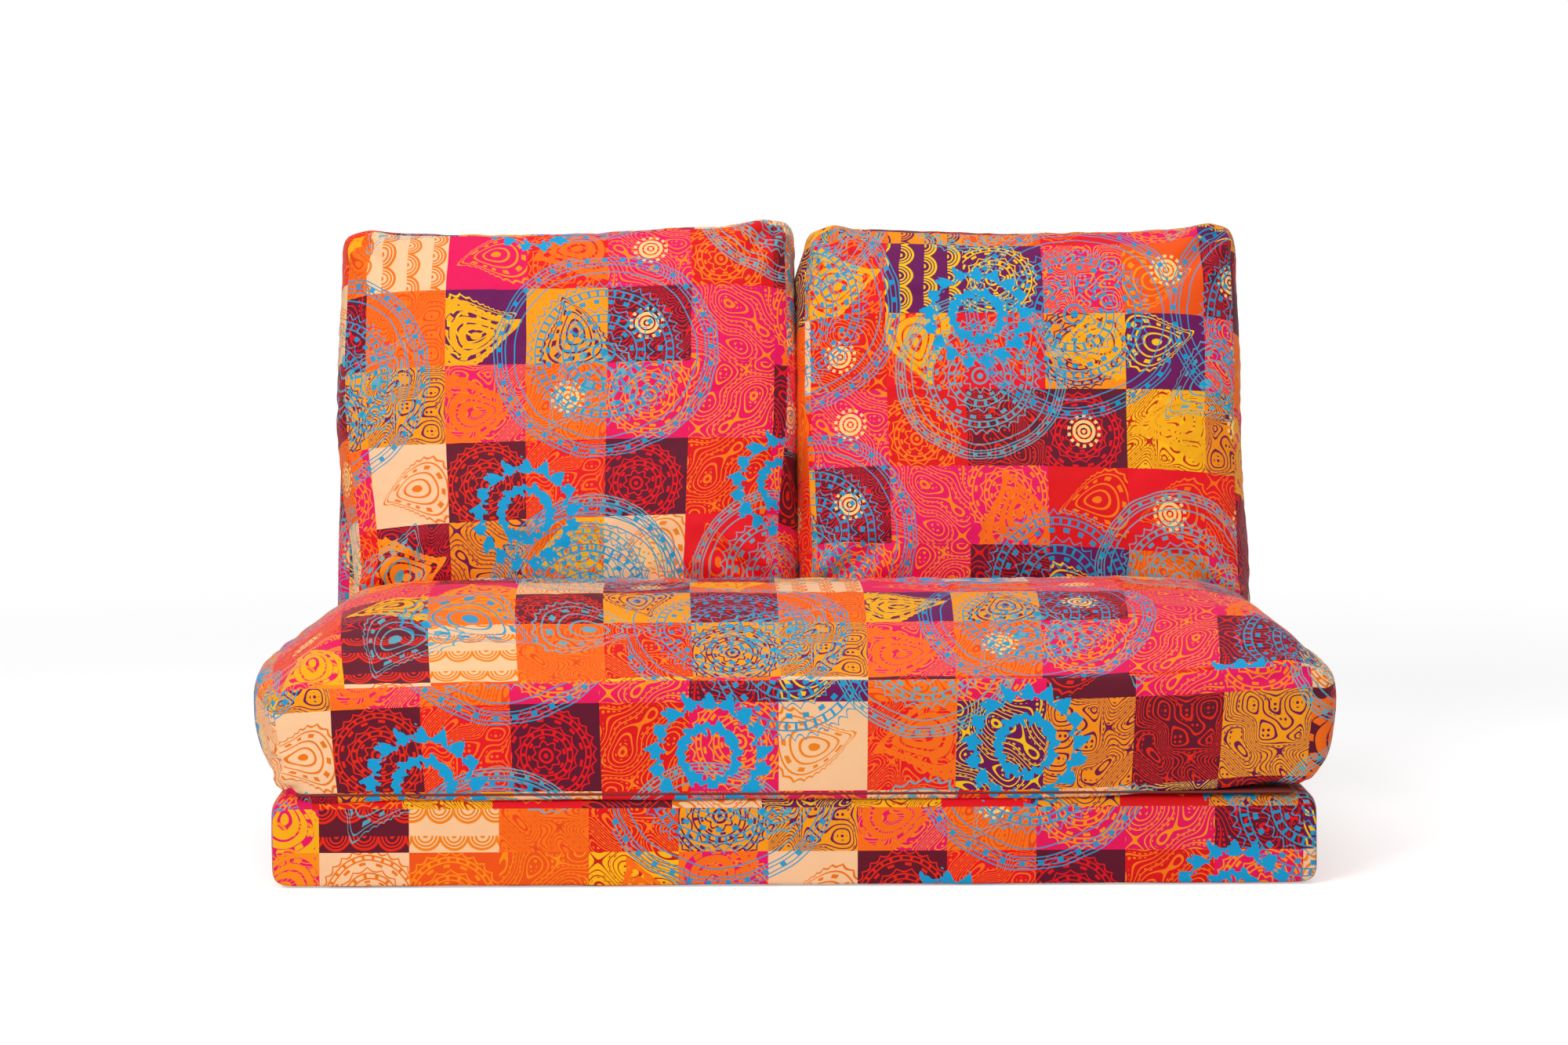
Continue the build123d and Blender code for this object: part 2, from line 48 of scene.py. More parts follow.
class Val:
    """A float or vector output of a shader node that can be combined with ordinary operators."""

    def __init__(self, tree, socket):
        self.tree = tree
        self.socket = socket

    def node(self, kind, **settings):
        made = self.tree.nodes.new(kind)
        for key, value in settings.items():
            setattr(made, key, value)
        return made

    def put(self, value, socket):
        if isinstance(value, Val):
            self.tree.links.new(value.socket, socket)
        else:
            socket.default_value = value

    def math(self, operation, *values, clamp=False):
        made = self.node("ShaderNodeMath", operation=operation, use_clamp=clamp)
        for value, socket in zip((self, *values), made.inputs):
            self.put(value, socket)
        return Val(self.tree, made.outputs[0])

    def __rsub__(self, other):
        return self.math("MULTIPLY_ADD", -1.0, other)

    __add__ = __radd__ = operation_of("ADD")
    __sub__ = operation_of("SUBTRACT")
    __mul__ = __rmul__ = operation_of("MULTIPLY")
    __truediv__ = operation_of("DIVIDE")
    __lt__ = operation_of("LESS_THAN")
    __gt__ = operation_of("GREATER_THAN")
    floor = operation_of("FLOOR")
    fract = operation_of("FRACT")
    sin = operation_of("SINE")
    abs = operation_of("ABSOLUTE")
    max = operation_of("MAXIMUM")

    def within(self, middle, half):
        """1 where the value lies within half of middle."""
        return (self - middle).abs() < half


def length_of(x, y):
    """Distance of x, y from zero."""
    return (x * x + y * y).math("SQRT")


def turned(x, y, angle):
    """x and y turned by an angle."""
    c, s = angle.math("COSINE"), angle.sin()
    return x * c + y * s, y * c - x * s


def xy_of(tree, socket):
    """The first two parts of a vector output."""
    split = tree.nodes.new("ShaderNodeSeparateXYZ")
    tree.links.new(socket, split.inputs[0])
    return Val(tree, split.outputs[0]), Val(tree, split.outputs[1])


def place_of(x, y, seed):
    """Output of a node that joins x, y and a seed into one vector."""
    join = x.node("ShaderNodeCombineXYZ")
    for value, socket in zip((x, y, seed), join.inputs):
        x.put(value, socket)
    return join.outputs[0]


def new_object(name, data):
    """A new object in the scene."""
    made = bpy.data.objects.new(name, data)
    bpy.context.collection.objects.link(made)
    return made


def new_material(name):
    """A new material and its node tree."""
    material = bpy.data.materials.new(name)
    material.use_nodes = True
    return material, material.node_tree


def noise_value(x, y, scale, detail, seed):
    """Smooth noise about 0.5 at x, y."""
    made = x.node("ShaderNodeTexNoise")
    x.tree.links.new(place_of(x, y, seed), made.inputs["Vector"])
    made.inputs["Scale"].default_value = scale
    made.inputs["Detail"].default_value = detail
    return Val(x.tree, made.outputs["Fac"])


def dice(x, y, seed):
    """Three random numbers from 0 to 1 for a pair of whole numbers."""
    made = x.node("ShaderNodeTexWhiteNoise", noise_dimensions="3D")
    x.tree.links.new(place_of(x, y, seed), made.inputs["Vector"])
    split = x.node("ShaderNodeSeparateColor")
    x.tree.links.new(made.outputs["Color"], split.inputs[0])
    return [Val(x.tree, socket) for socket in list(split.outputs)[:3]]


def stepped(value, colours):
    """One of a list of colours, by a value from 0 to 1."""
    made = value.node("ShaderNodeValToRGB")
    ramp = made.color_ramp
    ramp.interpolation = "CONSTANT"
    while len(ramp.elements) < len(colours):
        ramp.elements.new(1.0)
    for index, colour in enumerate(colours):
        ramp.elements[index].position = index / len(colours)
        ramp.elements[index].color = linear(colour)
    value.put(value, made.inputs[0])
    return Val(value.tree, made.outputs[0])


def mixed(factor, first, second):
    """first where factor is 0 and second where it is 1."""
    made = factor.node("ShaderNodeMix", data_type="RGBA")
    factor.put(factor, made.inputs[0])
    for value, socket in ((first, made.inputs[6]), (second, made.inputs[7])):
        factor.put(value, socket)
    return Val(factor.tree, made.outputs[2])


def linear(colour):
    """Scene-linear colour from eight-bit display values."""

    def channel(value):
        share = value / 255
        return share / 12.92 if share <= 0.04045 else ((share + 0.055) / 1.055) ** 2.4

    return (*[channel(value) for value in colour], 1.0)


# Motifs: places and widths are shares of the figure's own radius, and a figure is 1 on its lines
RUNG_SHARE = 0.62
BEAD_SHARE = 0.35


def ladder(radius, angle, middle, half, count, line):
    """Two rings with rungs between them."""
    rungs = ((angle * count).sin() > RUNG_SHARE) * radius.within(middle, half)
    return radius.within(middle - half, line).max(radius.within(middle + half, line)).max(rungs)


def beads(radius, angle, middle, half, count):
    """A ring of dots."""
    return ((angle * count).sin() > BEAD_SHARE) * radius.within(middle, half)


def ring_set(radius, rings):
    """Plain rings, each a middle with half its width, drawn over one another."""
    drawn = radius.within(*rings[0])
    for ring in rings[1:]:
        drawn = drawn.max(radius.within(*ring))
    return drawn


def rosette(x, y, petals, rings, line):
    """Line drawing of a round mandala of scallops, ladders, petals and dots."""
    rim, inner_rim, petal_depth = 0.98, 0.62, 0.07
    outer_ladder, inner_ladder = (0.82, 0.045), (0.46, 0.050)
    outer_beads, inner_beads = (0.70, 0.030), (0.35, 0.025)
    wave, wave_depth = 0.25, 0.035
    eye, pupil, reach = 0.13, 0.05, 1.05
    radius = length_of(x, y)
    angle = y.math("ARCTAN2", x)
    petal = (angle * petals).sin().abs()
    drawn = radius.within(rim - petal_depth * petal, line * 1.1)
    drawn = drawn.max(ladder(radius, angle, *outer_ladder, petals * 2.0, line))
    drawn = drawn.max(beads(radius, angle, *outer_beads, petals))
    half_petal = (angle * (petals * 0.5)).sin().abs()
    drawn = drawn.max(radius.within(inner_rim - petal_depth * half_petal, line))
    drawn = drawn.max(ladder(radius, angle, *inner_ladder, petals, line))
    drawn = drawn.max(beads(radius, angle, *inner_beads, rings))
    drawn = drawn.max(radius.within(wave + wave_depth * (angle * rings).sin(), line * 1.2))
    drawn = drawn.max(radius.within(eye, line * 1.6)).max(radius < pupil)
    return drawn * (radius < reach)


def ripples(x, y, line):
    """Wavering rings drawn freehand round a mandala."""
    waver, wave_scale, wave_seed = 0.16, 1.1, 6.0
    rings = (1.14, 1.25, 1.40)
    rungs, rung_count = (1.325, 0.030), 37.0
    radius = length_of(x, y) + (noise_value(x, y, wave_scale, 1.0, wave_seed) - 0.5) * waver
    drawn = ring_set(radius, [(ring, line) for ring in rings])
    return drawn.max(ladder(radius, y.math("ARCTAN2", x), *rungs, rung_count, line * 0.9))


def sun(x, y):
    """A small cream sun: a dot, two rings and a crown of dots."""
    rings = ((0.52, 0.085), (0.27, 0.075))
    centre, crown = 0.1, (0.80, 0.085)
    half_dots, dot_share = 7.0, 0.72
    radius = length_of(x, y)
    angle = y.math("ARCTAN2", x)
    dots = ((angle * half_dots).sin().abs() > dot_share) * radius.within(*crown)
    return ring_set(radius, rings).max(radius < centre).max(dots)


def teardrop(x, y, thick):
    """A bent drop in nested outlines with a scalloped rim, the old paisley figure."""
    tip, taper, least_width, bend = 0.86, 0.62, 0.16, 0.34
    rim, scallop_depth, scallop_count = 0.92, 0.06, 13.0
    dot_ring, dot_count, dot_share = (0.64, 0.05), 11.0, 0.3
    heart = 0.12
    bent = x + bend * (y + 0.25) * (y + 0.25)
    swell = (tip - y) * taper
    radius = length_of(bent / swell.max(least_width), (y + 0.18) * 1.05)
    angle = (y + 0.2).math("ARCTAN2", bent)
    scallop = scallop_depth * (angle * scallop_count).sin().abs()
    dots = ((angle * dot_count).sin() > dot_share) * radius.within(*dot_ring)
    inner = ring_set(radius, ((0.76, thick * 0.8), (0.50, thick), (0.30, thick * 1.2)))
    drawn = radius.within(rim - scallop, thick).max(inner).max(dots)
    return drawn.max(radius < heart) * (y < tip)


def scallops(x, y, size, line):
    """Overlapping fish-scale arches, each with inner arcs and a dot."""
    dot = 0.09
    row = (y / size).floor()
    across = (x / size + row * 0.5).fract() - 0.5
    radius = length_of(across, (y / size).fract())
    arches = ((0.50, line), (0.37, line * 0.7), (0.24, line * 0.7))
    return ring_set(radius, arches).max(radius < dot)


def bands(x, y, seed, scale, line):
    """Contour lines of smooth noise with beads between them, like a hand-drawn swirl."""
    contours, dot_pitch, dot_share = 19.0, 26.0, 0.62
    dotted_every, dotted_from, dot_margin = 3.0, 0.667, 0.25
    level = noise_value(x, y, scale, 0.0, seed) * contours
    edge = (level.fract() - 0.5).abs()
    dots = ((x * dot_pitch).sin() * (y * dot_pitch).sin()).abs() > dot_share
    dots = dots * ((level / dotted_every).fract() > dotted_from) * (edge > dot_margin)
    return (edge < line).max(dots)


# Colours of the print, as eight-bit display values
GROUNDS = [
    (243, 92, 42), (252, 160, 40), (236, 26, 38), (255, 208, 166), (92, 14, 40), (255, 190, 30),
    (236, 0, 96), (255, 136, 84), (104, 14, 84), (252, 148, 36), (226, 30, 34), (255, 210, 170),
    (236, 8, 90), (96, 14, 36),
]
INKS = [
    (255, 150, 60), (110, 18, 78), (255, 120, 60), (244, 148, 84), (232, 44, 48), (196, 52, 44),
    (255, 140, 50), (240, 84, 50), (252, 198, 44), (110, 24, 70), (255, 132, 60), (240, 130, 60),
    (255, 150, 50), (232, 60, 50),
]
BOLD_INKS = [(255, 150, 60), (252, 178, 52), (255, 130, 80)]
SKY = (36, 158, 204)
PALE_SKY = (96, 172, 190)
WREATH_BLUE = (20, 160, 214)
CREAM = (255, 216, 150)

# The print's layout: the side of a square in metres, and how each layer of figures is strewn
TILE = 0.111
WAVER = 0.09
WAVER_SCALE = 2.6
ORDER_STEP = (3.0, 5.0)
ORDER_SPREAD = 0.34
STYLE_LIMITS = (0.22, 0.45, 0.70, 0.77)
BOLD_PICK = (0.15, 0.11)
SUN_PICK = (0.86, 0.10)
SUN_SIZE = 2.1
SUN_REACH = 0.95
FIGURE_LAYERS = ((2.45, 31.0, PALE_SKY, 17.0), (3.1, 47.0, SKY, 23.0))
FIGURE_SPREAD = 0.5
FIGURE_SIZE = 1.35
FIGURE_LINE = 0.027
FIGURE_LIMITS = (0.34, 0.62, 0.70)
FIGURE_COVER = 0.92
WREATH_PITCH = 3.9
WREATH_SPREAD = 0.7
WREATH_SIZE = 2.9
WREATH_SHARE = 0.8
WREATH_LEAVES = 17.0


def strewn(u, v, pitch, shift, seed, spread, size):
    """Local x and y of a figure strewn at random in each lattice cell, and the cell's numbers."""
    gu, gv = u / pitch + shift[0], v / pitch + shift[1]
    toss = dice(gu.floor(), gv.floor(), seed)
    gx = ((gu.fract() - 0.5) * 2.0 - (toss[0] - 0.5) * spread) * size
    gy = ((gv.fract() - 0.5) * 2.0 - (toss[1] - 0.5) * spread) * size
    return gx, gy, toss


def print_group():
    """Node group that colours patchwork squares of old block-print motifs from UVs in metres."""
    group = bpy.data.node_groups.new("patchwork_print", "ShaderNodeTree")
    group.interface.new_socket("UV", in_out="INPUT", socket_type="NodeSocketVector")
    group.interface.new_socket("Color", in_out="OUTPUT", socket_type="NodeSocketColor")
    start = group.nodes.new("NodeGroupInput")
    u, v = [part / TILE for part in xy_of(group, start.outputs[0])]
    wave = (noise_value(u, v, WAVER_SCALE, 1.0, 3.0) - 0.5) * WAVER
    wave_v = (noise_value(u, v, WAVER_SCALE, 1.0, 9.0) - 0.5) * WAVER
    column, row = u.floor(), v.floor()
    x, y = (u.fract() - 0.5) * 2.0, (v.fract() - 0.5) * 2.0
    pick, other, third = dice(column, row, 4.0)
    spare, style, lean = dice(column, row, 17.0)
    place = column * ORDER_STEP[0] + row * ORDER_STEP[1]
    order = (pick * ORDER_SPREAD + (place / float(len(GROUNDS))).fract()).fract()
    ground = stepped(order, GROUNDS)
    ink = stepped(order, INKS)

    # Each square carries one of five line drawings, turned by quarters and shifted at random
    quarter = (lean * 4.0).floor() * (math.pi / 2)
    xw, yw = turned(x + wave, y + wave_v, quarter)
    drawings = [
        bands(xw, yw, 5.0, 0.95, 0.12),
        teardrop(xw * 0.88 + (other - 0.5) * 0.5, yw * 0.88, 0.024),
        rosette((xw + 0.45 * (third - 0.3)) / 1.15, (yw - 0.3 * other) / 1.15, 13.0, 8.0, 0.016),
        scallops(xw, yw, 0.62, 0.05),
        bands(xw, yw, 21.0, 1.5, 0.15),
    ]
    drawn = drawings[0] * (style < STYLE_LIMITS[0])
    for drawing, low, high in zip(drawings[1:], STYLE_LIMITS, STYLE_LIMITS[1:]):
        drawn = drawn + drawing * (style > low) * (style < high)
    drawn = drawn + drawings[-1] * (style > STYLE_LIMITS[-1])
    colour = mixed(drawn, ground, ink)

    # Broad bold ornament in some squares
    bold = teardrop(xw * 0.8 - 0.2, yw * 0.8, 0.07) * spare.within(*BOLD_PICK)
    colour = mixed(bold, colour, stepped(other, BOLD_INKS))

    # Suns stand beside the middle of a square here and there
    sx, sy = x * SUN_SIZE + (other - 0.5) * 0.8, y * SUN_SIZE + (third - 0.5) * 0.8
    shining = sun(sx, sy) * spare.within(*SUN_PICK) * (length_of(sx, sy) < SUN_REACH)
    colour = mixed(shining, colour, linear(CREAM))

    # Blue figures overprinted across the squares, on their own wider lattice
    for pitch, seed, tint, petals in FIGURE_LAYERS:
        shift = (0.37 * (seed / FIGURE_LAYERS[0][1]), 0.21)
        gx, gy, toss = strewn(u, v, pitch, shift, seed, FIGURE_SPREAD, FIGURE_SIZE)
        gx, gy = gx + wave * 0.4, gy + wave_v * 0.4
        line = FIGURE_LINE / pitch
        ringed, mandala, drop = FIGURE_LIMITS
        mx, my = gx * 1.18, gy * 1.18
        figure = rosette(mx, my, petals, 11.0, line) * (toss[2] < mandala)
        figure = figure.max(ripples(mx, my, line * 0.9) * (toss[2] < ringed))
        rx, ry = turned(gx, gy, toss[1] * 6.28)
        figure = figure.max(teardrop(rx * 1.15, ry * 1.15, 0.016) * (toss[2] > drop))
        colour = mixed(figure * FIGURE_COVER, colour, linear(tint))

    # Bold ragged blue wreaths, the rarest figure
    wx, wy, toss = strewn(u, v, WREATH_PITCH, (0.13, 0.61), 71.0, WREATH_SPREAD, WREATH_SIZE)
    reach = length_of(wx, wy)
    turn = wy.math("ARCTAN2", wx)
    ragged = (noise_value(wx, wy, 8.0, 2.0, 2.0) - 0.5) * 0.42
    leaf = (turn * WREATH_LEAVES + ragged * 9.0).sin()
    outer = (reach + ragged).within(0.88 + 0.04 * leaf, 0.085 + 0.055 * leaf)
    inner = (reach + ragged * 0.7).within(0.46 + 0.02 * leaf, 0.080)
    wreath = outer.max(inner) * (toss[2] < WREATH_SHARE)
    colour = mixed(wreath, colour, linear(WREATH_BLUE))

    finish = group.nodes.new("NodeGroupOutput")
    group.links.new(colour.socket, finish.inputs[0])
    return group


def smooth(value, start=0.0, span=1.0):
    """Eased step from 0 to 1 as the value goes from start through its span."""
    value = np.clip((value - start) / span, 0.0, 1.0)
    return value * value * (3 - 2 * value)


def dome(depth_x, depth_y, shares_x, shares_y, rises):
    """Height share of a crown, from how far in from the seams a point lies in shares of the reach."""
    soft = 0.06
    rise_x = np.interp(depth_x, shares_x, rises)
    rise_y = np.interp(depth_y, shares_y, rises)
    low = np.minimum(rise_x, rise_y)
    gap = np.abs(rise_x - rise_y)
    return np.clip(low - soft * np.exp(-gap / soft) + soft * np.exp(-low / soft), 0.0, 1.0)


def ripple(point, size, seed):
    """Smooth seeded noise from -1 to 1."""
    x, y, z = (value / size for value in point)
    return noise.noise(Vector((x + seed, y - seed, z + 2 * seed)))


class Form:
    """A closed padded form of upper panel, boxing strip and lower panel, with UVs in metres."""

    def __init__(self, name, counts, rows):
        self.name = name
        self.nx, self.ny = counts
        self.rows = rows
        self.points, self.faces, self.uvs, self.seam = [], [], [], []

    def build(self, upper, lower, wall, shift):
        """upper, lower and wall give points; shift gives each panel's UV offset."""
        nx, ny = self.nx, self.ny
        index = {}
        for level, place in ((0, upper), (1, lower)):
            for j in range(ny + 1):
                for i in range(nx + 1):
                    index[level, i, j] = len(self.points)
                    self.points.append(place(2 * i / nx - 1, 2 * j / ny - 1))
                    self.seam.append(min(i, j, nx - i, ny - j) == 0)
        ring = [(i, 0) for i in range(nx)] + [(nx, j) for j in range(ny)]
        ring += [(i, ny) for i in range(nx, 0, -1)] + [(0, j) for j in range(ny, 0, -1)]
        strips = []
        for row in range(1, self.rows):
            strip = []
            for i, j in ring:
                top, bottom = self.points[index[0, i, j]], self.points[index[1, i, j]]
                strip.append(len(self.points))
                u, v, down = 2 * i / nx - 1, 2 * j / ny - 1, row / self.rows
                self.points.append(wall(u, v, down, top, bottom))
                self.seam.append(False)
            strips.append(strip)
        loops = [[index[0, i, j] for i, j in ring], *strips, [index[1, i, j] for i, j in ring]]

        # UVs follow the cloth: lengths are summed out from the panel's middle along rows and columns
        paper = {}
        for level in (0, 1):
            columns = [[index[level, i, j] for j in range(ny + 1)] for i in range(nx + 1)]
            grid = np.array([[self.points[vertex] for vertex in column] for column in columns])
            for axis in (0, 1):
                steps = np.linalg.norm(np.diff(grid, axis=axis), axis=2).mean(axis=1 - axis)
                along = np.concatenate([[0.0], np.cumsum(steps)])
                paper[level, axis] = along - along[-1] / 2 + shift[level][axis]

        for level in (0, 1):
            for j in range(ny):
                for i in range(nx):
                    corners = [(i, j), (i + 1, j), (i + 1, j + 1), (i, j + 1)]
                    if level:
                        corners.reverse()
                    self.faces.append([index[level, *corner] for corner in corners])
                    self.uvs.append([(paper[level, 0][a], paper[level, 1][b]) for a, b in corners])
        length = len(ring)
        around = [0.0]
        for k in range(length):
            a, b = self.points[loops[0][k]], self.points[loops[0][(k + 1) % length]]
            around.append(around[-1] + math.dist(a, b))
        rings = [np.array([self.points[vertex] for vertex in loop]) for loop in loops]
        steps = [np.linalg.norm(b - a, axis=1).mean() for a, b in zip(rings, rings[1:])]
        tall = float(sum(steps))
        for row in range(self.rows):
            for k in range(length):
                after = (k + 1) % length
                quad = [loops[row + 1][k], loops[row + 1][after], loops[row][after], loops[row][k]]
                self.faces.append(quad)
                left, right = around[k] + shift[2][0], around[k + 1] + shift[2][0]
                low = -(row + 1) / self.rows * tall + shift[2][1]
                high = -row / self.rows * tall + shift[2][1]
                self.uvs.append([(left, low), (right, low), (right, high), (left, high)])

    def mesh(self, matrix):
        """The form as a Blender object."""
        data = bpy.data.meshes.new(self.name)
        data.from_pydata([matrix @ Vector(p) for p in self.points], [], self.faces)
        layer = data.uv_layers.new(name="UVMap")
        flat = [uv for face in self.uvs for uv in face]
        layer.data.foreach_set("uv", np.array(flat, dtype=float).ravel())
        data.update()
        return new_object(self.name, data)


def vectors(rows, key):
    """A vector property of a mesh's vertices or normals as an array."""
    flat = np.empty(len(rows) * 3)
    rows.foreach_get(key, flat)
    return flat.reshape(-1, 3)


def coordinates(made):
    return vectors(made.data.vertices, "co")


def normals_of(made):
    return vectors(made.data.vertex_normals, "vector")


def move_to(made, points):
    """Writes vertex positions back to a mesh."""
    made.data.vertices.foreach_set("co", points.ravel())
    made.data.update()


def seam_distance(made, seam):
    """Rough distance of each vertex from the nearest seam vertex, with the nearest one's index."""
    points = coordinates(made)
    marked = np.flatnonzero(seam)
    tree = kdtree.KDTree(len(marked))
    for order, vertex in enumerate(marked):
        tree.insert(points[vertex], order)
    tree.balance()
    found = [tree.find(point) for point in points]
    return np.array([item[2] for item in found]), marked[np.array([item[1] for item in found])]


# Cloth: it grows a little in the open and is gathered near its seams
SETTLE_FRAMES = 16
GATHER_REACH = 0.012
CLOTH_RULES = {
    "quality": 6,
    "mass": 0.2,
    "tension_stiffness": 20,
    "compression_stiffness": 12,
    "shear_stiffness": 5,
    "bending_stiffness": 0.35,
    "air_damping": 3,
    "use_pressure": True,
    "pin_stiffness": 1.0,
    "shrink_min": -0.015,
    "shrink_max": 0.02,
}
SEAM_CREASE = 0.55
SLAB_CREASE = 0.8


def relax(made, form, cap, pressure, hold):
    """Cloth under pressure, held loosely to its cut shape and moved by the cap at most."""
    before = coordinates(made)
    holds = made.vertex_groups.new(name="hold")
    holds.add(list(range(len(before))), hold, "REPLACE")
    gathers = made.vertex_groups.new(name="gather")
    near, _ = seam_distance(made, form.seam)
    for vertex, distance in enumerate(near):
        gathers.add([vertex], float(np.exp(-distance / GATHER_REACH)), "REPLACE")
    cloth = made.modifiers.new("cloth", "CLOTH")
    rules = cloth.settings
    rules.vertex_group_mass = "hold"
    rules.vertex_group_shrink = "gather"
    for key, value in CLOTH_RULES.items():
        setattr(rules, key, value)
    rules.uniform_pressure_force = pressure
    rules.effector_weights.gravity = 0
    cloth.collision_settings.use_collision = False
    cloth.collision_settings.use_self_collision = False
    scene = bpy.context.scene
    scene.frame_start, scene.frame_end = 1, SETTLE_FRAMES
    for frame_number in range(1, SETTLE_FRAMES + 1):
        scene.frame_set(frame_number)
    settled = made.evaluated_get(bpy.context.evaluated_depsgraph_get())
    after = vectors(settled.to_mesh().vertices, "co")
    settled.to_mesh_clear()
    made.modifiers.remove(cloth)
    made.vertex_groups.clear()
    scene.frame_set(1)
    moved = after - before
    size = np.linalg.norm(moved, axis=1, keepdims=True)
    moved *= np.minimum(1.0, cap / np.maximum(size, 1e-9))
    move_to(made, before + moved)


def pucker(made, form, depth, spacing, reach, seed, pull):
    """Short gathers that run away from every seam, and the seam itself drawn in by the pull."""
    seam_width, seam_share, onset = 0.007, 0.15, 0.35
    finer_height, finer_size, patch_size, least = 0.5, 0.45, 7, 0.35
    points, normals = coordinates(made), normals_of(made)
    near, nearest = seam_distance(made, form.seam)
    out = points.copy()
    for vertex, (distance, source) in enumerate(zip(near, nearest)):
        place = points[source]
        finer = ripple(place, spacing * finer_size, seed + 5)
        wave = ripple(place, spacing, seed) + finer_height * finer
        strength = 0.5 + 0.5 * ripple(place, spacing * patch_size, seed + 11)
        fade = math.exp(-distance / reach) * min(1.0, seam_share + distance / (onset * reach))
        drop = pull * math.exp(-distance / seam_width)
        out[vertex] += normals[vertex] * (depth * wave * (least + strength) * fade - drop)
    move_to(made, out)


def wavy(made, size, depth, seed):
    """Slight waves of cloth over foam."""
    finer = 0.4
    points, normals = coordinates(made), normals_of(made)
    for vertex, point in enumerate(points):
        wave = ripple(point, size, seed) + finer * ripple(point, size * finer, seed + 3)
        points[vertex] += normals[vertex] * depth * wave
    move_to(made, points)


def press(made, axis, level, give):
    """Flattens what bulges below a level of an axis, where something stands against it."""
    points = coordinates(made)
    past = points[:, axis] < level
    points[past, axis] = level + (points[past, axis] - level) * give
    move_to(made, points)


def folds(made, creases):
    """Drag folds: shallow valleys with raised lips, each from a start along a direction."""
    lip, lip_place = 0.75, 2.0
    early, sharp = 0.6, 1.2
    narrow, widening = 0.6, 0.9
    points, normals = coordinates(made), normals_of(made)
    out = points.copy()
    for start, along, length, width, depth in creases:
        along = np.array(Vector(along).normalized())
        offset = points - np.array(start)
        run = offset @ along
        aside = np.linalg.norm(offset - run[:, None] * along, axis=1)
        share = np.clip(run / length, 0, 1)
        fade = np.sin(np.pi * share ** early) ** sharp * (run > 0)
        spread = width * (narrow + widening * share)
        valley = np.exp(-((aside / spread) ** 2))
        profile = valley - lip * np.exp(-(((aside - lip_place * spread) / spread) ** 2))
        out -= normals * (depth * fade * profile)[:, None]
    move_to(made, out)


def corner_folds(corners, middle, seed, length, width, depth):
    """Creases that fan out from corner points towards a middle."""
    count, fan, fan_play, length_play = 3, 0.42, 0.16, 0.45
    creases = []
    for order, corner in enumerate(corners):
        inward = Vector(middle) - Vector(corner)
        steep = abs(inward.z) > inward.length * 0.7
        sideways = inward.cross(ACROSS if steep else UPRIGHT).normalized()
        for k in range(count):
            turn = (k - (count - 1) / 2) * fan + fan_play * ripple((order, k, 0.5), 0.7, seed)
            stretch = 1.0 + length_play * ripple((k, order, 1.5), 0.6, seed + 4)
            way = inward.normalized() + sideways * turn
            wide = width * (0.8 + 0.4 * stretch)
            creases.append((corner, way, length * stretch, wide, depth * stretch))
    return creases


def refine(made, form, crease):
    """Subdivides the mesh for good, with the seams kept crisp."""
    data = made.data
    marked = np.array(form.seam)
    creases = data.attributes.new("crease_edge", "FLOAT", "EDGE")
    for edge in data.edges:
        a, b = edge.vertices
        if marked[a] and marked[b]:
            creases.data[edge.index].value = crease
    smoother = made.modifiers.new("smooth", "SUBSURF")
    smoother.levels = smoother.render_levels = 1
    smoother.uv_smooth = "PRESERVE_CORNERS"
    final = made.evaluated_get(bpy.context.evaluated_depsgraph_get())
    mesh = bpy.data.meshes.new_from_object(final)
    made.modifiers.remove(smoother)
    made.data = mesh
    for polygon in mesh.polygons:
        polygon.use_smooth = True


# Sizes in the part's frame, in metres and radians, as in the solids
HALF_WIDTH = 0.650
HALF_DEPTH = 0.325
SLAB = 0.115
EDGE = 0.020
SEAT_LOW = 0.118
SEAT_SEAM = 0.257
SEAT_CROWN = 0.092
SEAT_MIDDLE = -0.028
SEAT_HALF = (0.654, 0.287)
PIVOT = Vector((0, 0.330, 0.1755))
LEAN = math.radians(20)
ACROSS = Vector((1, 0, 0))
UPRIGHT = Vector((0, 0, 1))
UP = Vector((0, math.sin(LEAN), math.cos(LEAN)))
FRONT = Vector((0, -math.cos(LEAN), math.sin(LEAN)))
LEANING = Matrix((ACROSS, UP, FRONT)).transposed().to_4x4()

PRINT = print_group()


# Printed cotton: thread pitch, gloss, how far the weave stands out, and noise by scale, detail, seed
WEAVE = 0.00085
COLOUR_DEPTH = 1.12
SHADE_RANGE = (0.93, 0.14)
ROUGH_RANGE = (0.56, 0.10)
SHEEN = (0.05, 0.45)
COTTON_GLOSS = 0.22
WEAVE_BUMP = (0.22, 0.0006)
PATCH_NOISE = (26.0, 3.0, 1.5)
SLUB_NOISE = (900.0, 2.0, 4.0)
SLUB_STRETCH = 0.2


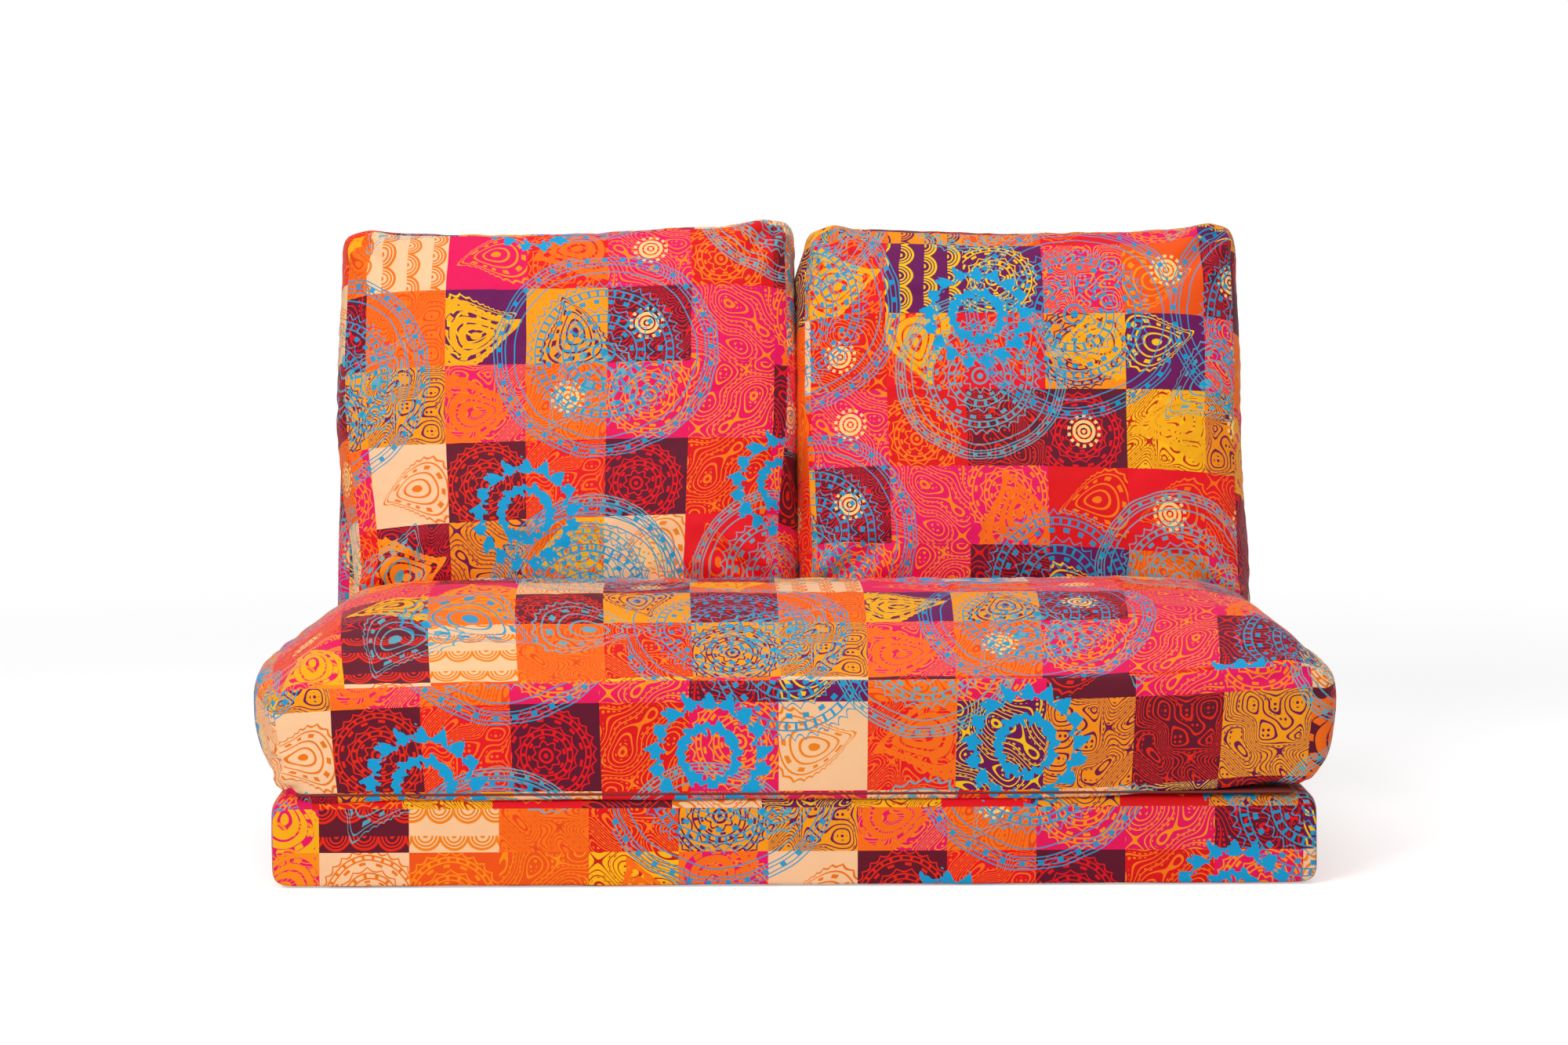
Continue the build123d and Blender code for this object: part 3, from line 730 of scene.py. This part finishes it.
def cloth_material(name):
    """Printed satin-weave cotton, coloured by the patchwork group from UVs in metres."""
    material, tree = new_material(name)
    tree.nodes.clear()
    where = tree.nodes.new("ShaderNodeUVMap")
    where.uv_map = "UVMap"
    u, v = xy_of(tree, where.outputs[0])
    print_node = tree.nodes.new("ShaderNodeGroup")
    print_node.node_tree = PRINT
    tree.links.new(where.outputs[0], print_node.inputs[0])
    patch = noise_value(u, v, *PATCH_NOISE)
    shade = tree.nodes.new("ShaderNodeHueSaturation")
    tree.links.new(print_node.outputs[0], shade.inputs["Color"])
    shade.inputs["Saturation"].default_value = COLOUR_DEPTH
    u.put(SHADE_RANGE[0] + patch * SHADE_RANGE[1], shade.inputs["Value"])
    surface = tree.nodes.new("ShaderNodeBsdfPrincipled")
    tree.links.new(shade.outputs[0], surface.inputs["Base Color"])
    u.put(ROUGH_RANGE[0] + patch * ROUGH_RANGE[1], surface.inputs["Roughness"])
    surface.inputs["Sheen Weight"].default_value = SHEEN[0]
    surface.inputs["Sheen Roughness"].default_value = SHEEN[1]
    surface.inputs["Specular IOR Level"].default_value = COTTON_GLOSS
    threads = (u * (2 * math.pi / WEAVE)).sin() * (v * (2 * math.pi / WEAVE)).sin()
    slub = noise_value(u * SLUB_STRETCH, v, *SLUB_NOISE)
    height = threads * 0.5 + slub * 0.8 + patch * 2.2
    bump = tree.nodes.new("ShaderNodeBump")
    bump.inputs["Strength"].default_value = WEAVE_BUMP[0]
    bump.inputs["Distance"].default_value = WEAVE_BUMP[1]
    tree.links.new(height.socket, bump.inputs["Height"])
    tree.links.new(bump.outputs[0], surface.inputs["Normal"])
    out = tree.nodes.new("ShaderNodeOutputMaterial")
    tree.links.new(surface.outputs[0], out.inputs[0])
    return material


CLOTH = cloth_material("printed_cotton")


def dress(made, body, parts):
    """Gives a finished cover its print and body, and hides the body's parts that it replaces."""
    made.data.materials.clear()
    made.data.materials.append(CLOTH)
    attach(made, body)
    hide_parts(*[f"{body}_{part}" for part in parts])


ON_RIM = 0.999

# Seat: its crown, seams and corners
CROWN_RISES = (0.0, 0.42, 0.76, 0.95, 1.0)
CROWN_SHARES_X = (0.0, 0.19, 0.37, 0.64, 1.0)
CROWN_SHARES_Y = (0.0, 0.21, 0.47, 0.76, 1.0)
CROWN_REACH = (0.250, 0.255)
RIGHT_CROWN_SHARE = 0.16
SEAT_SEAM_HALF = (SEAT_HALF[0] - 0.008, SEAT_HALF[1])
SEAT_SEAM_BOW = (0.026, 0.005)
SEAT_SEAM_CORNER = 0.022
SEAT_LOW_HALF = (SEAT_HALF[0] - 0.018, SEAT_HALF[1] - 0.002)
SEAT_LOW_BOW = (0.018, 0.004)
SEAT_LOW_CORNER = 0.026
SEAM_END = 0.646
SEAM_TILT = 0.016
SEAM_DIP = 0.004
FOOT_CURL = 0.017
RIGHT_CORNER_REACH = 0.013
LOW_FRONT_SWELL = 0.011
LOW_FRONT_SAG = 0.011
LEFT_TUCK = 0.020
SIDE_SWELL = (0.014, 0.020)
FRONT_SWELL = 0.004

# Where the seat's changes set in and over what span, in metres, and in half widths for the crown
FOOT_CURL_STEP = (0.30, 0.34)
CORNER_STEP = (0.42, 0.22)
CROWN_STEP = (0.3, 0.4)
TUCK_STEP = (0.56, 0.09)


def rounded(u, v, half, bow, radius):
    """Point of an outline with bowed sides and round corners, for u and v from -1 to 1."""
    x = abs(u) * half[0]
    y = abs(v) * half[1]
    over = (x - half[0] + radius, y - half[1] + radius)
    if min(over) > 0:
        share = max(over) / math.hypot(*over)
        x, y = half[0] - radius + over[0] * share, half[1] - radius + over[1] * share
    x += abs(u) * bow[0] * (1 - v * v)
    y += abs(v) * bow[1] * (1 - u * u)
    return math.copysign(x, u), math.copysign(y, v)


def corner_lift(x, v):
    """The seat's front seam stands higher at its right end than at its left."""
    share = np.clip(abs(x) / SEAM_END, 0, 1) ** 3 * np.clip(0.5 - v * 0.5, 0, 1) ** 2
    return math.copysign(SEAM_TILT, x) * share - SEAM_DIP * np.clip(-v, 0, 1) ** 2


def foot_lift(x, v):
    """The seat's right front corner curls up off the base."""
    return FOOT_CURL * smooth(x, *FOOT_CURL_STEP) * np.clip(-v, 0, 1) ** 3


def corner_reach(x, v):
    """The seat's right front corner stands further out than its left one."""
    return RIGHT_CORNER_REACH * smooth(x, *CORNER_STEP) * np.clip(-v, 0, 1) ** 2


def seat_upper(u, v):
    """A point of the seat's crowned top panel."""
    x, y = rounded(u, v, SEAT_SEAM_HALF, SEAT_SEAM_BOW, SEAT_SEAM_CORNER)
    x += corner_reach(x, v)
    reach_x = CROWN_REACH[0] * (1 - RIGHT_CROWN_SHARE * smooth(u, *CROWN_STEP))
    depth_x = (1 - abs(u)) * SEAT_SEAM_HALF[0] / reach_x
    depth_y = (1 - abs(v)) * SEAT_SEAM_HALF[1] / CROWN_REACH[1]
    rise = dome(depth_x, depth_y, CROWN_SHARES_X, CROWN_SHARES_Y, CROWN_RISES)
    return (x, y + SEAT_MIDDLE, SEAT_SEAM + corner_lift(x, v) + SEAT_CROWN * float(rise))


def seat_lower(u, v):
    """A point of the seat's underside, which sags at the front edge and is tucked in at the left."""
    x, y = rounded(u, v, SEAT_LOW_HALF, SEAT_LOW_BOW, SEAT_LOW_CORNER)
    x += corner_reach(x, v)
    forward = np.clip(-v, 0, 1)
    y -= LOW_FRONT_SWELL * forward ** 6
    x += LEFT_TUCK * smooth(-x, *TUCK_STEP) * forward ** 4
    sag = LOW_FRONT_SAG * forward ** 30
    return (x, y + SEAT_MIDDLE, SEAT_LOW - sag + foot_lift(x, v))


def swollen(point, u, v, push_x, push_y):
    """A point of a boxing strip, pushed outwards on the sides that it lies on."""
    x = point[0] + math.copysign(push_x if abs(u) > ON_RIM else 0.0, u)
    y = point[1] + math.copysign(push_y if abs(v) > ON_RIM else 0.0, v)
    return (x, y, point[2])


def seat_wall(u, v, down, top, bottom):
    """A point of the seat's boxing, which swells between its two seams."""
    bulge = (1 - abs(2 * down - 1) ** 2.6) ** 0.62
    straight = [a + (b - a) * down for a, b in zip(top, bottom)]
    push_x = (SIDE_SWELL[0] + SIDE_SWELL[1] * (1 - v * v)) * bulge
    return swollen(straight, u, v, push_x, FRONT_SWELL * bulge)


# Seat cover. A cover's print is offset on its upper panel, lower panel and boxing, in metres.
SEAT_GRID = 0.0115
SEAT_SPANS = (1.31, 0.58, 0.145)
SEAT_PRINT = ((0.021, 0.301), (0.5, 0.2), (0.045, 0.028))
SEAT_FRONT_LIMIT = -0.3235
TUCK_WAY = (0.75, -0.35, -0.42)
TUCK_SIZE = (0.075, 0.007, 0.0070)
along_x, along_y, rows = [round(span / SEAT_GRID) for span in SEAT_SPANS]
seat_form = Form("seat_cover", (along_x, along_y), rows)
seat_form.build(seat_upper, seat_lower, seat_wall, SEAT_PRINT)
seat = seat_form.mesh(Matrix.Identity(4))
relax(seat, seat_form, cap=0.016, pressure=3.0, hold=0.35)
pucker(seat, seat_form, depth=0.0045, spacing=0.034, reach=0.040, seed=3.0, pull=0.003)
refine(seat, seat_form, SEAM_CREASE)
wavy(seat, size=0.11, depth=0.0016, seed=6.0)
seat_corners = [(x, -0.312, z) for x in (-0.640, 0.640) for z in (0.262, 0.124)]
seat_heart = (0, -0.20, 0.20)
folds(seat, corner_folds(seat_corners, seat_heart, 2.0, length=0.16, width=0.009, depth=0.0050))
folds(seat, [((-0.655, -0.300, 0.165 - 0.016 * k), TUCK_WAY, *TUCK_SIZE) for k in range(3)])
press(seat, 1, SEAT_FRONT_LIMIT, 0.2)
seat_parts = ("cover_top", "cover_boxing", "cover_bottom", "wadding", "foam")
dress(seat, "seat", seat_parts)

# Back cushions, drawn flat: x across, y up the back and z out of it
CUSHION_HALF = (0.315, 0.272)
CUSHION_EDGE = 0.121
CUSHION_BACK_CROWN = 0.010
CUSHION_SEAM = SLAB / 2 + 0.0006 + CUSHION_BACK_CROWN
CUSHION_CROWN = 0.033
CUSHION_REACH = 0.165
CUSHION_INSET = 0.009
CUSHION_BOW = (0.004, 0.005)
CUSHION_CORNER = 0.010
CUSHION_SWELL = 0.011
CUSHION_TOP = 0.606
CUSHION_PITCH = 0.636
CUSHION_SHIFT = 0.010
CUSHION_CORNERS = (0.298, 0.300, 0.258, -0.262)
CUSHION_RISES = (0.0, 0.5, 0.85, 1.0)
CUSHION_SHARES = (0.0, 0.2, 0.55, 1.0)
WALL_PACE = 1.25

# Where a cushion's changes set in and over what span, going down for the first three
NARROWING_STEP = (-0.20, 0.42)
FOOT_STEP = (-0.02, 0.25)
INNER_FOOT_STEP = (-0.18, 0.25)
TOP_STEP = (0.12, 0.15)
INNER_TOP_STEP = (0.20, 0.07)


def cushion_panel(level, crown, narrowing):
    """Front or rear panel, narrower towards its foot by the narrowing on its left and right."""

    def place(u, v):
        half = (CUSHION_HALF[0] - CUSHION_INSET, CUSHION_HALF[1] - CUSHION_INSET)
        x, y = rounded(u, v, half, CUSHION_BOW, CUSHION_CORNER)
        depth = [(1 - abs(share)) * side / CUSHION_REACH for share, side in zip((u, v), half)]
        rise = dome(*depth, CUSHION_SHARES, CUSHION_SHARES, CUSHION_RISES)
        x -= x / half[0] * narrowing[x > 0] * smooth(-y, *NARROWING_STEP)
        return (x, y, level + crown * float(rise))

    return place


def cushion_wall(u, v, down, top, bottom):
    """A point of a cushion's boxing, which swells between its two seams."""
    bulge = CUSHION_SWELL * math.sin(math.pi * down) ** 0.8
    x, y = (a + (b - a) * smooth(down * WALL_PACE) for a, b in zip(top[:2], bottom[:2]))
    z = top[2] + (bottom[2] - top[2]) * down
    return swollen((x, y, z), u, v, bulge, bulge)


# How each cushion slouches: its outer foot sinks and moves, the whole tilts, its inner side moves, and
# its inner foot and inner top corner move further. Then come its print's offsets and its narrowing.
LEFT_BEND = (0.014, 0.024, 0.007, 0.006, 0.010, 0.0)
RIGHT_BEND = (0.030, 0.006, 0.0, 0.007, 0.0, 0.014)
CUSHIONS = (
    ("left", -1, LEFT_BEND, ((0.27, 0.05), (0.1, 0.4), (0.33, 0.07)), (0.008, 0.022)),
    ("right", 1, RIGHT_BEND, ((0.63, 0.31), (0.7, 0.1), (0.81, 0.22)), (0.006, 0.014)),
)
EAR_RISE = 0.010
LEFT_EAR_SHARE = 0.2
TOP_DIP = 0.006
FOOT_FORWARD = 0.010


def slouch(point, sign, bend):
    """A loose cushion's own bends: its outer foot sags beside the seat's crown, its ears stand up."""
    x, y, z = point
    foot_sink, foot_shift, tilt, inner_shift, inner_foot, inner_top = bend
    outer = np.clip((sign * x / CUSHION_HALF[0] + 0.2) / 1.2, 0, 1) ** 2
    inner = np.clip(-sign * x / CUSHION_HALF[0], 0, 1) ** 2
    low = smooth(-y, *FOOT_STEP)
    high = smooth(y, *TOP_STEP)
    ear = high * (abs(x) / CUSHION_HALF[0]) ** 6
    y -= foot_sink * outer * low
    y += EAR_RISE * ear * (1.0 if x > 0 else LEFT_EAR_SHARE) - TOP_DIP * high * math.cos(x * 9)
    y += tilt * x / CUSHION_HALF[0]
    x += foot_shift * low * outer
    x += inner * (inner_shift + inner_foot * smooth(-y, *INNER_FOOT_STEP))
    x += inner_top * inner * smooth(y, *INNER_TOP_STEP)
    z += FOOT_FORWARD * low * (1 - outer)
    return (x, y, z)


CUSHION_GRID = 0.009
CUSHION_SPANS = (0.61, 0.52, 0.125)
NO_NARROWING = (0.0, 0.0)
along_x, along_y, rows = [round(span / CUSHION_GRID) for span in CUSHION_SPANS]
front_seam = CUSHION_SEAM + CUSHION_EDGE
for side, sign, bend, shift, narrowing in CUSHIONS:
    form = Form(f"cushion_{side}_cover", (along_x, along_y), rows)
    front = cushion_panel(front_seam, CUSHION_CROWN, narrowing)
    rear = cushion_panel(CUSHION_SEAM, -CUSHION_BACK_CROWN, NO_NARROWING)
    form.build(front, rear, cushion_wall, shift)
    form.points = [slouch(point, sign, bend) for point in form.points]
    matrix = LEANING.copy()
    middle = sign * CUSHION_PITCH / 2 + CUSHION_SHIFT
    matrix.translation = PIVOT + UP * (CUSHION_TOP - CUSHION_HALF[1]) + ACROSS * middle
    cushion = form.mesh(matrix)
    relax(cushion, form, cap=0.014, pressure=3.0, hold=0.30)
    pucker(cushion, form, depth=0.0042, spacing=0.034, reach=0.038, seed=20.0 + sign, pull=0.003)
    refine(cushion, form, SEAM_CREASE)
    wavy(cushion, size=0.10, depth=0.0026, seed=12.0 + sign)
    top_x, low_x, top_y, low_y = CUSHION_CORNERS
    corners = [(-top_x, top_y), (top_x, top_y)]
    corners += [(-low_x + narrowing[0], low_y), (low_x - narrowing[1], low_y)]
    corners = [matrix @ Vector(slouch((*corner, front_seam), sign, bend)) for corner in corners]
    heart = matrix @ Vector((0, 0, front_seam))
    folds(cushion, corner_folds(corners, heart, 8.0 + sign, length=0.17, width=0.011, depth=0.0056))
    dress(cushion, f"cushion_{side}", ("boxing", "front", "rear", "fill"))


# Slabs: crisp block covers, rolled over at their seams
SLAB_GRID = 0.012
BASE_GRID_HEIGHT = 0.0096
BASE_SPANS = (1.3, 0.67)
BASE_PRINT = ((0.035, 0.006), (0.6, 0.2), (0.045, 0.0))
BASE_ROLL = 0.016
LOW_ROLL_SHARE = 0.12
FLOOR_LEVEL = 0.0002
BACK_HALF = 0.632
BACK_REACH = 0.485
BACK_ROLL = 0.018
BACK_SPANS = (1.23, 0.467)
BACK_ROWS = 14
BACK_PRINT = ((0.31, 0.44), (0.7, 0.2), (0.15, 0.05))


def roll(down, thick, radius):
    """Outward and inward travel along an edge that turns a quarter, runs straight and turns again."""
    turn = radius * math.pi / 2
    run = down * (2 * turn + thick - 2 * radius)
    back = 2 * turn + thick - 2 * radius - run
    if run < turn:
        return radius * math.sin(run / radius), radius * (1 - math.cos(run / radius))
    if back < turn:
        return radius * math.sin(back / radius), thick - radius * (1 - math.cos(back / radius))
    return radius, radius + run - turn


def base_point(u, v, out, deep):
    """A point of the base, seen from the front, grown outwards and set back from the front face."""
    inset = BASE_ROLL - out
    half = (HALF_WIDTH - inset * LOW_ROLL_SHARE, SLAB / 2 - inset * (1 + LOW_ROLL_SHARE) / 2)
    x, y = rounded(u, v, half, (0.0, 0.0), EDGE - inset * LOW_ROLL_SHARE)
    return (x, y - inset * (1 - LOW_ROLL_SHARE) / 2, HALF_DEPTH - deep)


columns, rows = [round(span / SLAB_GRID) for span in BASE_SPANS]
base_form = Form("base_cover", (columns, round(SLAB / BASE_GRID_HEIGHT)), rows)
base_form.build(
    lambda u, v: base_point(u, v, 0.0, 0.0),
    lambda u, v: base_point(u, v, 0.0, 2 * HALF_DEPTH),
    lambda u, v, down, top, bottom: base_point(u, v, *roll(down, 2 * HALF_DEPTH, BASE_ROLL)),
    BASE_PRINT,
)
base_matrix = Matrix((ACROSS, UPRIGHT, ACROSS.cross(UPRIGHT))).transposed().to_4x4()
base_matrix.translation = UPRIGHT * SLAB / 2
base = base_form.mesh(base_matrix)
wavy(base, size=0.16, depth=0.0012, seed=2.0)
pucker(base, base_form, depth=0.0012, spacing=0.022, reach=0.020, seed=9.0, pull=0.0012)
refine(base, base_form, SLAB_CREASE)
press(base, 2, FLOOR_LEVEL, 0.0)
dress(base, "base", ("cover_wrap", "cover_front", "cover_rear", "foam"))


def back_point(u, v, down):
    """A point of the back: flat faces, rolled edges and a half-round foot about the hinge."""
    out, deep = roll(down, SLAB, BACK_ROLL)
    x = u * (BACK_HALF - BACK_ROLL + out)
    y = (1 + v) / 2 * (BACK_REACH - BACK_ROLL)
    if v > ON_RIM:
        y += out
    if v < -ON_RIM:
        low, deep = roll(down, SLAB, SLAB / 2)
        y -= low
    return (x, y, SLAB / 2 - deep)


columns, rows = [round(span / SLAB_GRID) for span in BACK_SPANS]
back_form = Form("back_cover", (columns, rows), BACK_ROWS)
back_form.build(
    lambda u, v: back_point(u, v, 0.0),
    lambda u, v: back_point(u, v, 1.0),
    lambda u, v, down, top, bottom: back_point(u, v, down),
    BACK_PRINT,
)
back_matrix = LEANING.copy()
back_matrix.translation = PIVOT
back = back_form.mesh(back_matrix)
wavy(back, size=0.16, depth=0.0012, seed=5.0)
pucker(back, back_form, depth=0.0012, spacing=0.024, reach=0.022, seed=15.0, pull=0.0012)
refine(back, back_form, SLAB_CREASE)
dress(back, "back", ("cover_wrap", "cover_end_left", "cover_end_right", "foam"))


# Simple procedural finishes for the solids that stay
GRAIN_SHADE = 0.78
GRAIN_ROUGHNESS = 0.2
GRAIN_DEPTH = 0.0005


def plain_material(name, colour, roughness, metallic, bump, scale):
    """One colour with fine grain in its shade, its gloss and its relief."""
    material, tree = new_material(name)
    surface = tree.nodes["Principled BSDF"]
    place = tree.nodes.new("ShaderNodeTexCoord")
    grain = tree.nodes.new("ShaderNodeTexNoise")
    grain.inputs["Scale"].default_value = scale
    grain.inputs["Detail"].default_value = 5.0
    tree.links.new(place.outputs["Object"], grain.inputs["Vector"])
    ramp = tree.nodes.new("ShaderNodeValToRGB")
    ramp.color_ramp.elements[0].color = (*[c * GRAIN_SHADE for c in linear(colour)[:3]], 1)
    ramp.color_ramp.elements[1].color = linear(colour)
    tree.links.new(grain.outputs["Fac"], ramp.inputs[0])
    tree.links.new(ramp.outputs[0], surface.inputs["Base Color"])
    surface.inputs["Metallic"].default_value = metallic
    rough = Val(tree, grain.outputs["Fac"]) * GRAIN_ROUGHNESS + (roughness - GRAIN_ROUGHNESS / 2)
    tree.links.new(rough.socket, surface.inputs["Roughness"])
    node = tree.nodes.new("ShaderNodeBump")
    node.inputs["Strength"].default_value = bump
    node.inputs["Distance"].default_value = GRAIN_DEPTH
    tree.links.new(grain.outputs["Fac"], node.inputs["Height"])
    tree.links.new(node.outputs[0], surface.inputs["Normal"])
    return material


# By a word in the node's name: name, colour, roughness, metal, relief and scale of the grain
FINISH_VALUES = {
    "foam": ("open_cell_foam", (226, 214, 172), 0.95, 0.0, 0.8, 420.0),
    "wadding": ("polyester_wadding", (240, 238, 230), 0.98, 0.0, 0.9, 180.0),
    "fill": ("fibre_fill", (242, 240, 234), 0.98, 0.0, 0.9, 120.0),
    "tape": ("woven_tape", (132, 40, 34), 0.85, 0.0, 0.5, 700.0),
    "straps": ("elastic_webbing", (38, 38, 42), 0.85, 0.0, 0.5, 600.0),
    "frame": ("black_powder_coat", (36, 36, 38), 0.42, 0.0, 0.15, 900.0),
    "plate": ("zinc_plated_steel", (182, 184, 184), 0.36, 1.0, 0.1, 260.0),
    "bracket": ("zinc_plated_bracket", (176, 178, 180), 0.38, 1.0, 0.1, 260.0),
    "pin": ("bright_pin_steel", (204, 204, 204), 0.28, 1.0, 0.05, 400.0),
    "spring": ("blued_spring_steel", (92, 98, 112), 0.34, 1.0, 0.05, 400.0),
    "pawl": ("hardened_pawl_steel", (140, 140, 142), 0.4, 1.0, 0.1, 300.0),
    "slider": ("zip_slider_zinc", (150, 140, 120), 0.34, 1.0, 0.08, 500.0),
    "zip": ("zip_nylon", (122, 34, 30), 0.6, 0.0, 0.5, 1100.0),
}
FINISHES = {word: plain_material(*values) for word, values in FINISH_VALUES.items()}
for node_name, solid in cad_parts.items():
    for word in FINISHES:
        if word in node_name and "cover" not in node_name:
            solid.data.materials.clear()
            solid.data.materials.append(FINISHES[word])
            break


# Set: white floor and backdrop, soft light from above and in front
WORLD_SEEN = 1.0
WORLD_LIGHT = 0.34
WHITE = (1, 1, 1, 1)


def background(tree, level):
    """A plain white world background."""
    made = tree.nodes.new("ShaderNodeBackground")
    made.inputs["Color"].default_value = WHITE
    made.inputs["Strength"].default_value = level
    return made


def studio_world():
    """White where it is seen, mirrored or seen through, and a soft grey light elsewhere."""
    world = bpy.data.worlds.new("studio")
    bpy.context.scene.world = world
    world.use_nodes = True
    tree = world.node_tree
    tree.nodes.clear()
    path = tree.nodes.new("ShaderNodeLightPath")
    bright = Val(tree, path.outputs["Is Camera Ray"]).max(Val(tree, path.outputs["Is Glossy Ray"]))
    bright = bright.max(Val(tree, path.outputs["Is Transmission Ray"]))
    mix = tree.nodes.new("ShaderNodeMixShader")
    tree.links.new(bright.socket, mix.inputs[0])
    tree.links.new(background(tree, WORLD_LIGHT).outputs[0], mix.inputs[1])
    tree.links.new(background(tree, WORLD_SEEN).outputs[0], mix.inputs[2])
    out = tree.nodes.new("ShaderNodeOutputWorld")
    tree.links.new(mix.outputs[0], out.inputs[0])


studio_world()
FLOOR_REACH = 30.0
FLOOR_TOP = -0.0005
FADE_START = 1.5
FADE_END = 3.4
FLOOR_WHITE = (0.9, 0.9, 0.9, 1)
FLOOR_ROUGHNESS = 0.9
FLOOR_GLOSS = 0.1
FLOOR_GLOW = 0.45
floor_mesh = bpy.data.meshes.new("floor")
square = ((-1, -1), (1, -1), (1, 1), (-1, 1))
floor_corners = [(x * FLOOR_REACH, y * FLOOR_REACH, FLOOR_TOP) for x, y in square]
floor_mesh.from_pydata(floor_corners, [], [(0, 1, 2, 3)])
floor = new_object("floor", floor_mesh)


def floor_finish():
    """White floor that keeps the sofa bed's soft shadow and fades into the backdrop further out."""
    material, tree = new_material("white_floor")
    surface = tree.nodes["Principled BSDF"]
    surface.inputs["Base Color"].default_value = FLOOR_WHITE
    surface.inputs["Roughness"].default_value = FLOOR_ROUGHNESS
    surface.inputs["Specular IOR Level"].default_value = FLOOR_GLOSS
    surface.inputs["Emission Color"].default_value = WHITE
    seen = Val(tree, tree.nodes.new("ShaderNodeLightPath").outputs["Is Camera Ray"])
    seen.put(seen * FLOOR_GLOW, surface.inputs["Emission Strength"])
    place = tree.nodes.new("ShaderNodeTexCoord")
    away = length_of(*xy_of(tree, place.outputs["Object"]))
    share = (away - FADE_START).math("DIVIDE", FADE_END - FADE_START, clamp=True)
    glow = tree.nodes.new("ShaderNodeEmission")
    mix = tree.nodes.new("ShaderNodeMixShader")
    seen.put(seen * share * share * (3.0 - share * 2.0), mix.inputs[0])
    tree.links.new(surface.outputs[0], mix.inputs[1])
    tree.links.new(glow.outputs[0], mix.inputs[2])
    tree.links.new(mix.outputs[0], tree.nodes["Material Output"].inputs[0])
    return material


floor.data.materials.append(floor_finish())


def area_light(name, place, aim, size, power):
    """A soft rectangular lamp in watts, turned to its aim."""
    light = bpy.data.lights.new(name, "AREA")
    light.shape = "RECTANGLE"
    light.size, light.size_y = size
    light.energy = power
    made = new_object(name, light)
    made.location = place
    made.rotation_euler = (Vector(aim) - Vector(place)).to_track_quat("-Z", "Y").to_euler()


LAMPS = (
    ("key", (-2.2, -3.2, 2.6), (0, 0, 0.4), (1.8, 1.3), 78),
    ("fill", (2.6, -3.0, 1.8), (0, 0, 0.4), (2.4, 2.0), 16),
    ("top", (0, -0.4, 3.2), (0, 0, 0.2), (3.0, 1.6), 34),
)
for lamp in LAMPS:
    area_light(*lamp)

# Camera, fitted to the corners of the base's front face in the photograph
YAW = math.radians(1.38)
PITCH = math.radians(5.30)
LENS = 80.2
SENSOR = 36
CAMERA_DISTANCE = 4.2745
CAMERA_ASIDE = 0.0154
CAMERA_HEIGHT = 0.850
ahead = Vector((math.sin(YAW), math.cos(YAW), 0))
right = Vector((math.cos(YAW), -math.sin(YAW), 0))
camera_data = bpy.data.cameras.new("camera")
camera_data.lens = LENS
camera_data.sensor_width = SENSOR
camera = new_object("camera", camera_data)
stand = Vector((0, -HALF_DEPTH, CAMERA_HEIGHT))
camera.location = stand - ahead * CAMERA_DISTANCE - right * CAMERA_ASIDE
look = ahead * math.cos(PITCH) - UPRIGHT * math.sin(PITCH)
camera.rotation_euler = look.to_track_quat("-Z", "Y").to_euler()
bpy.context.scene.camera = camera
bpy.context.scene.view_settings.view_transform = "Standard"
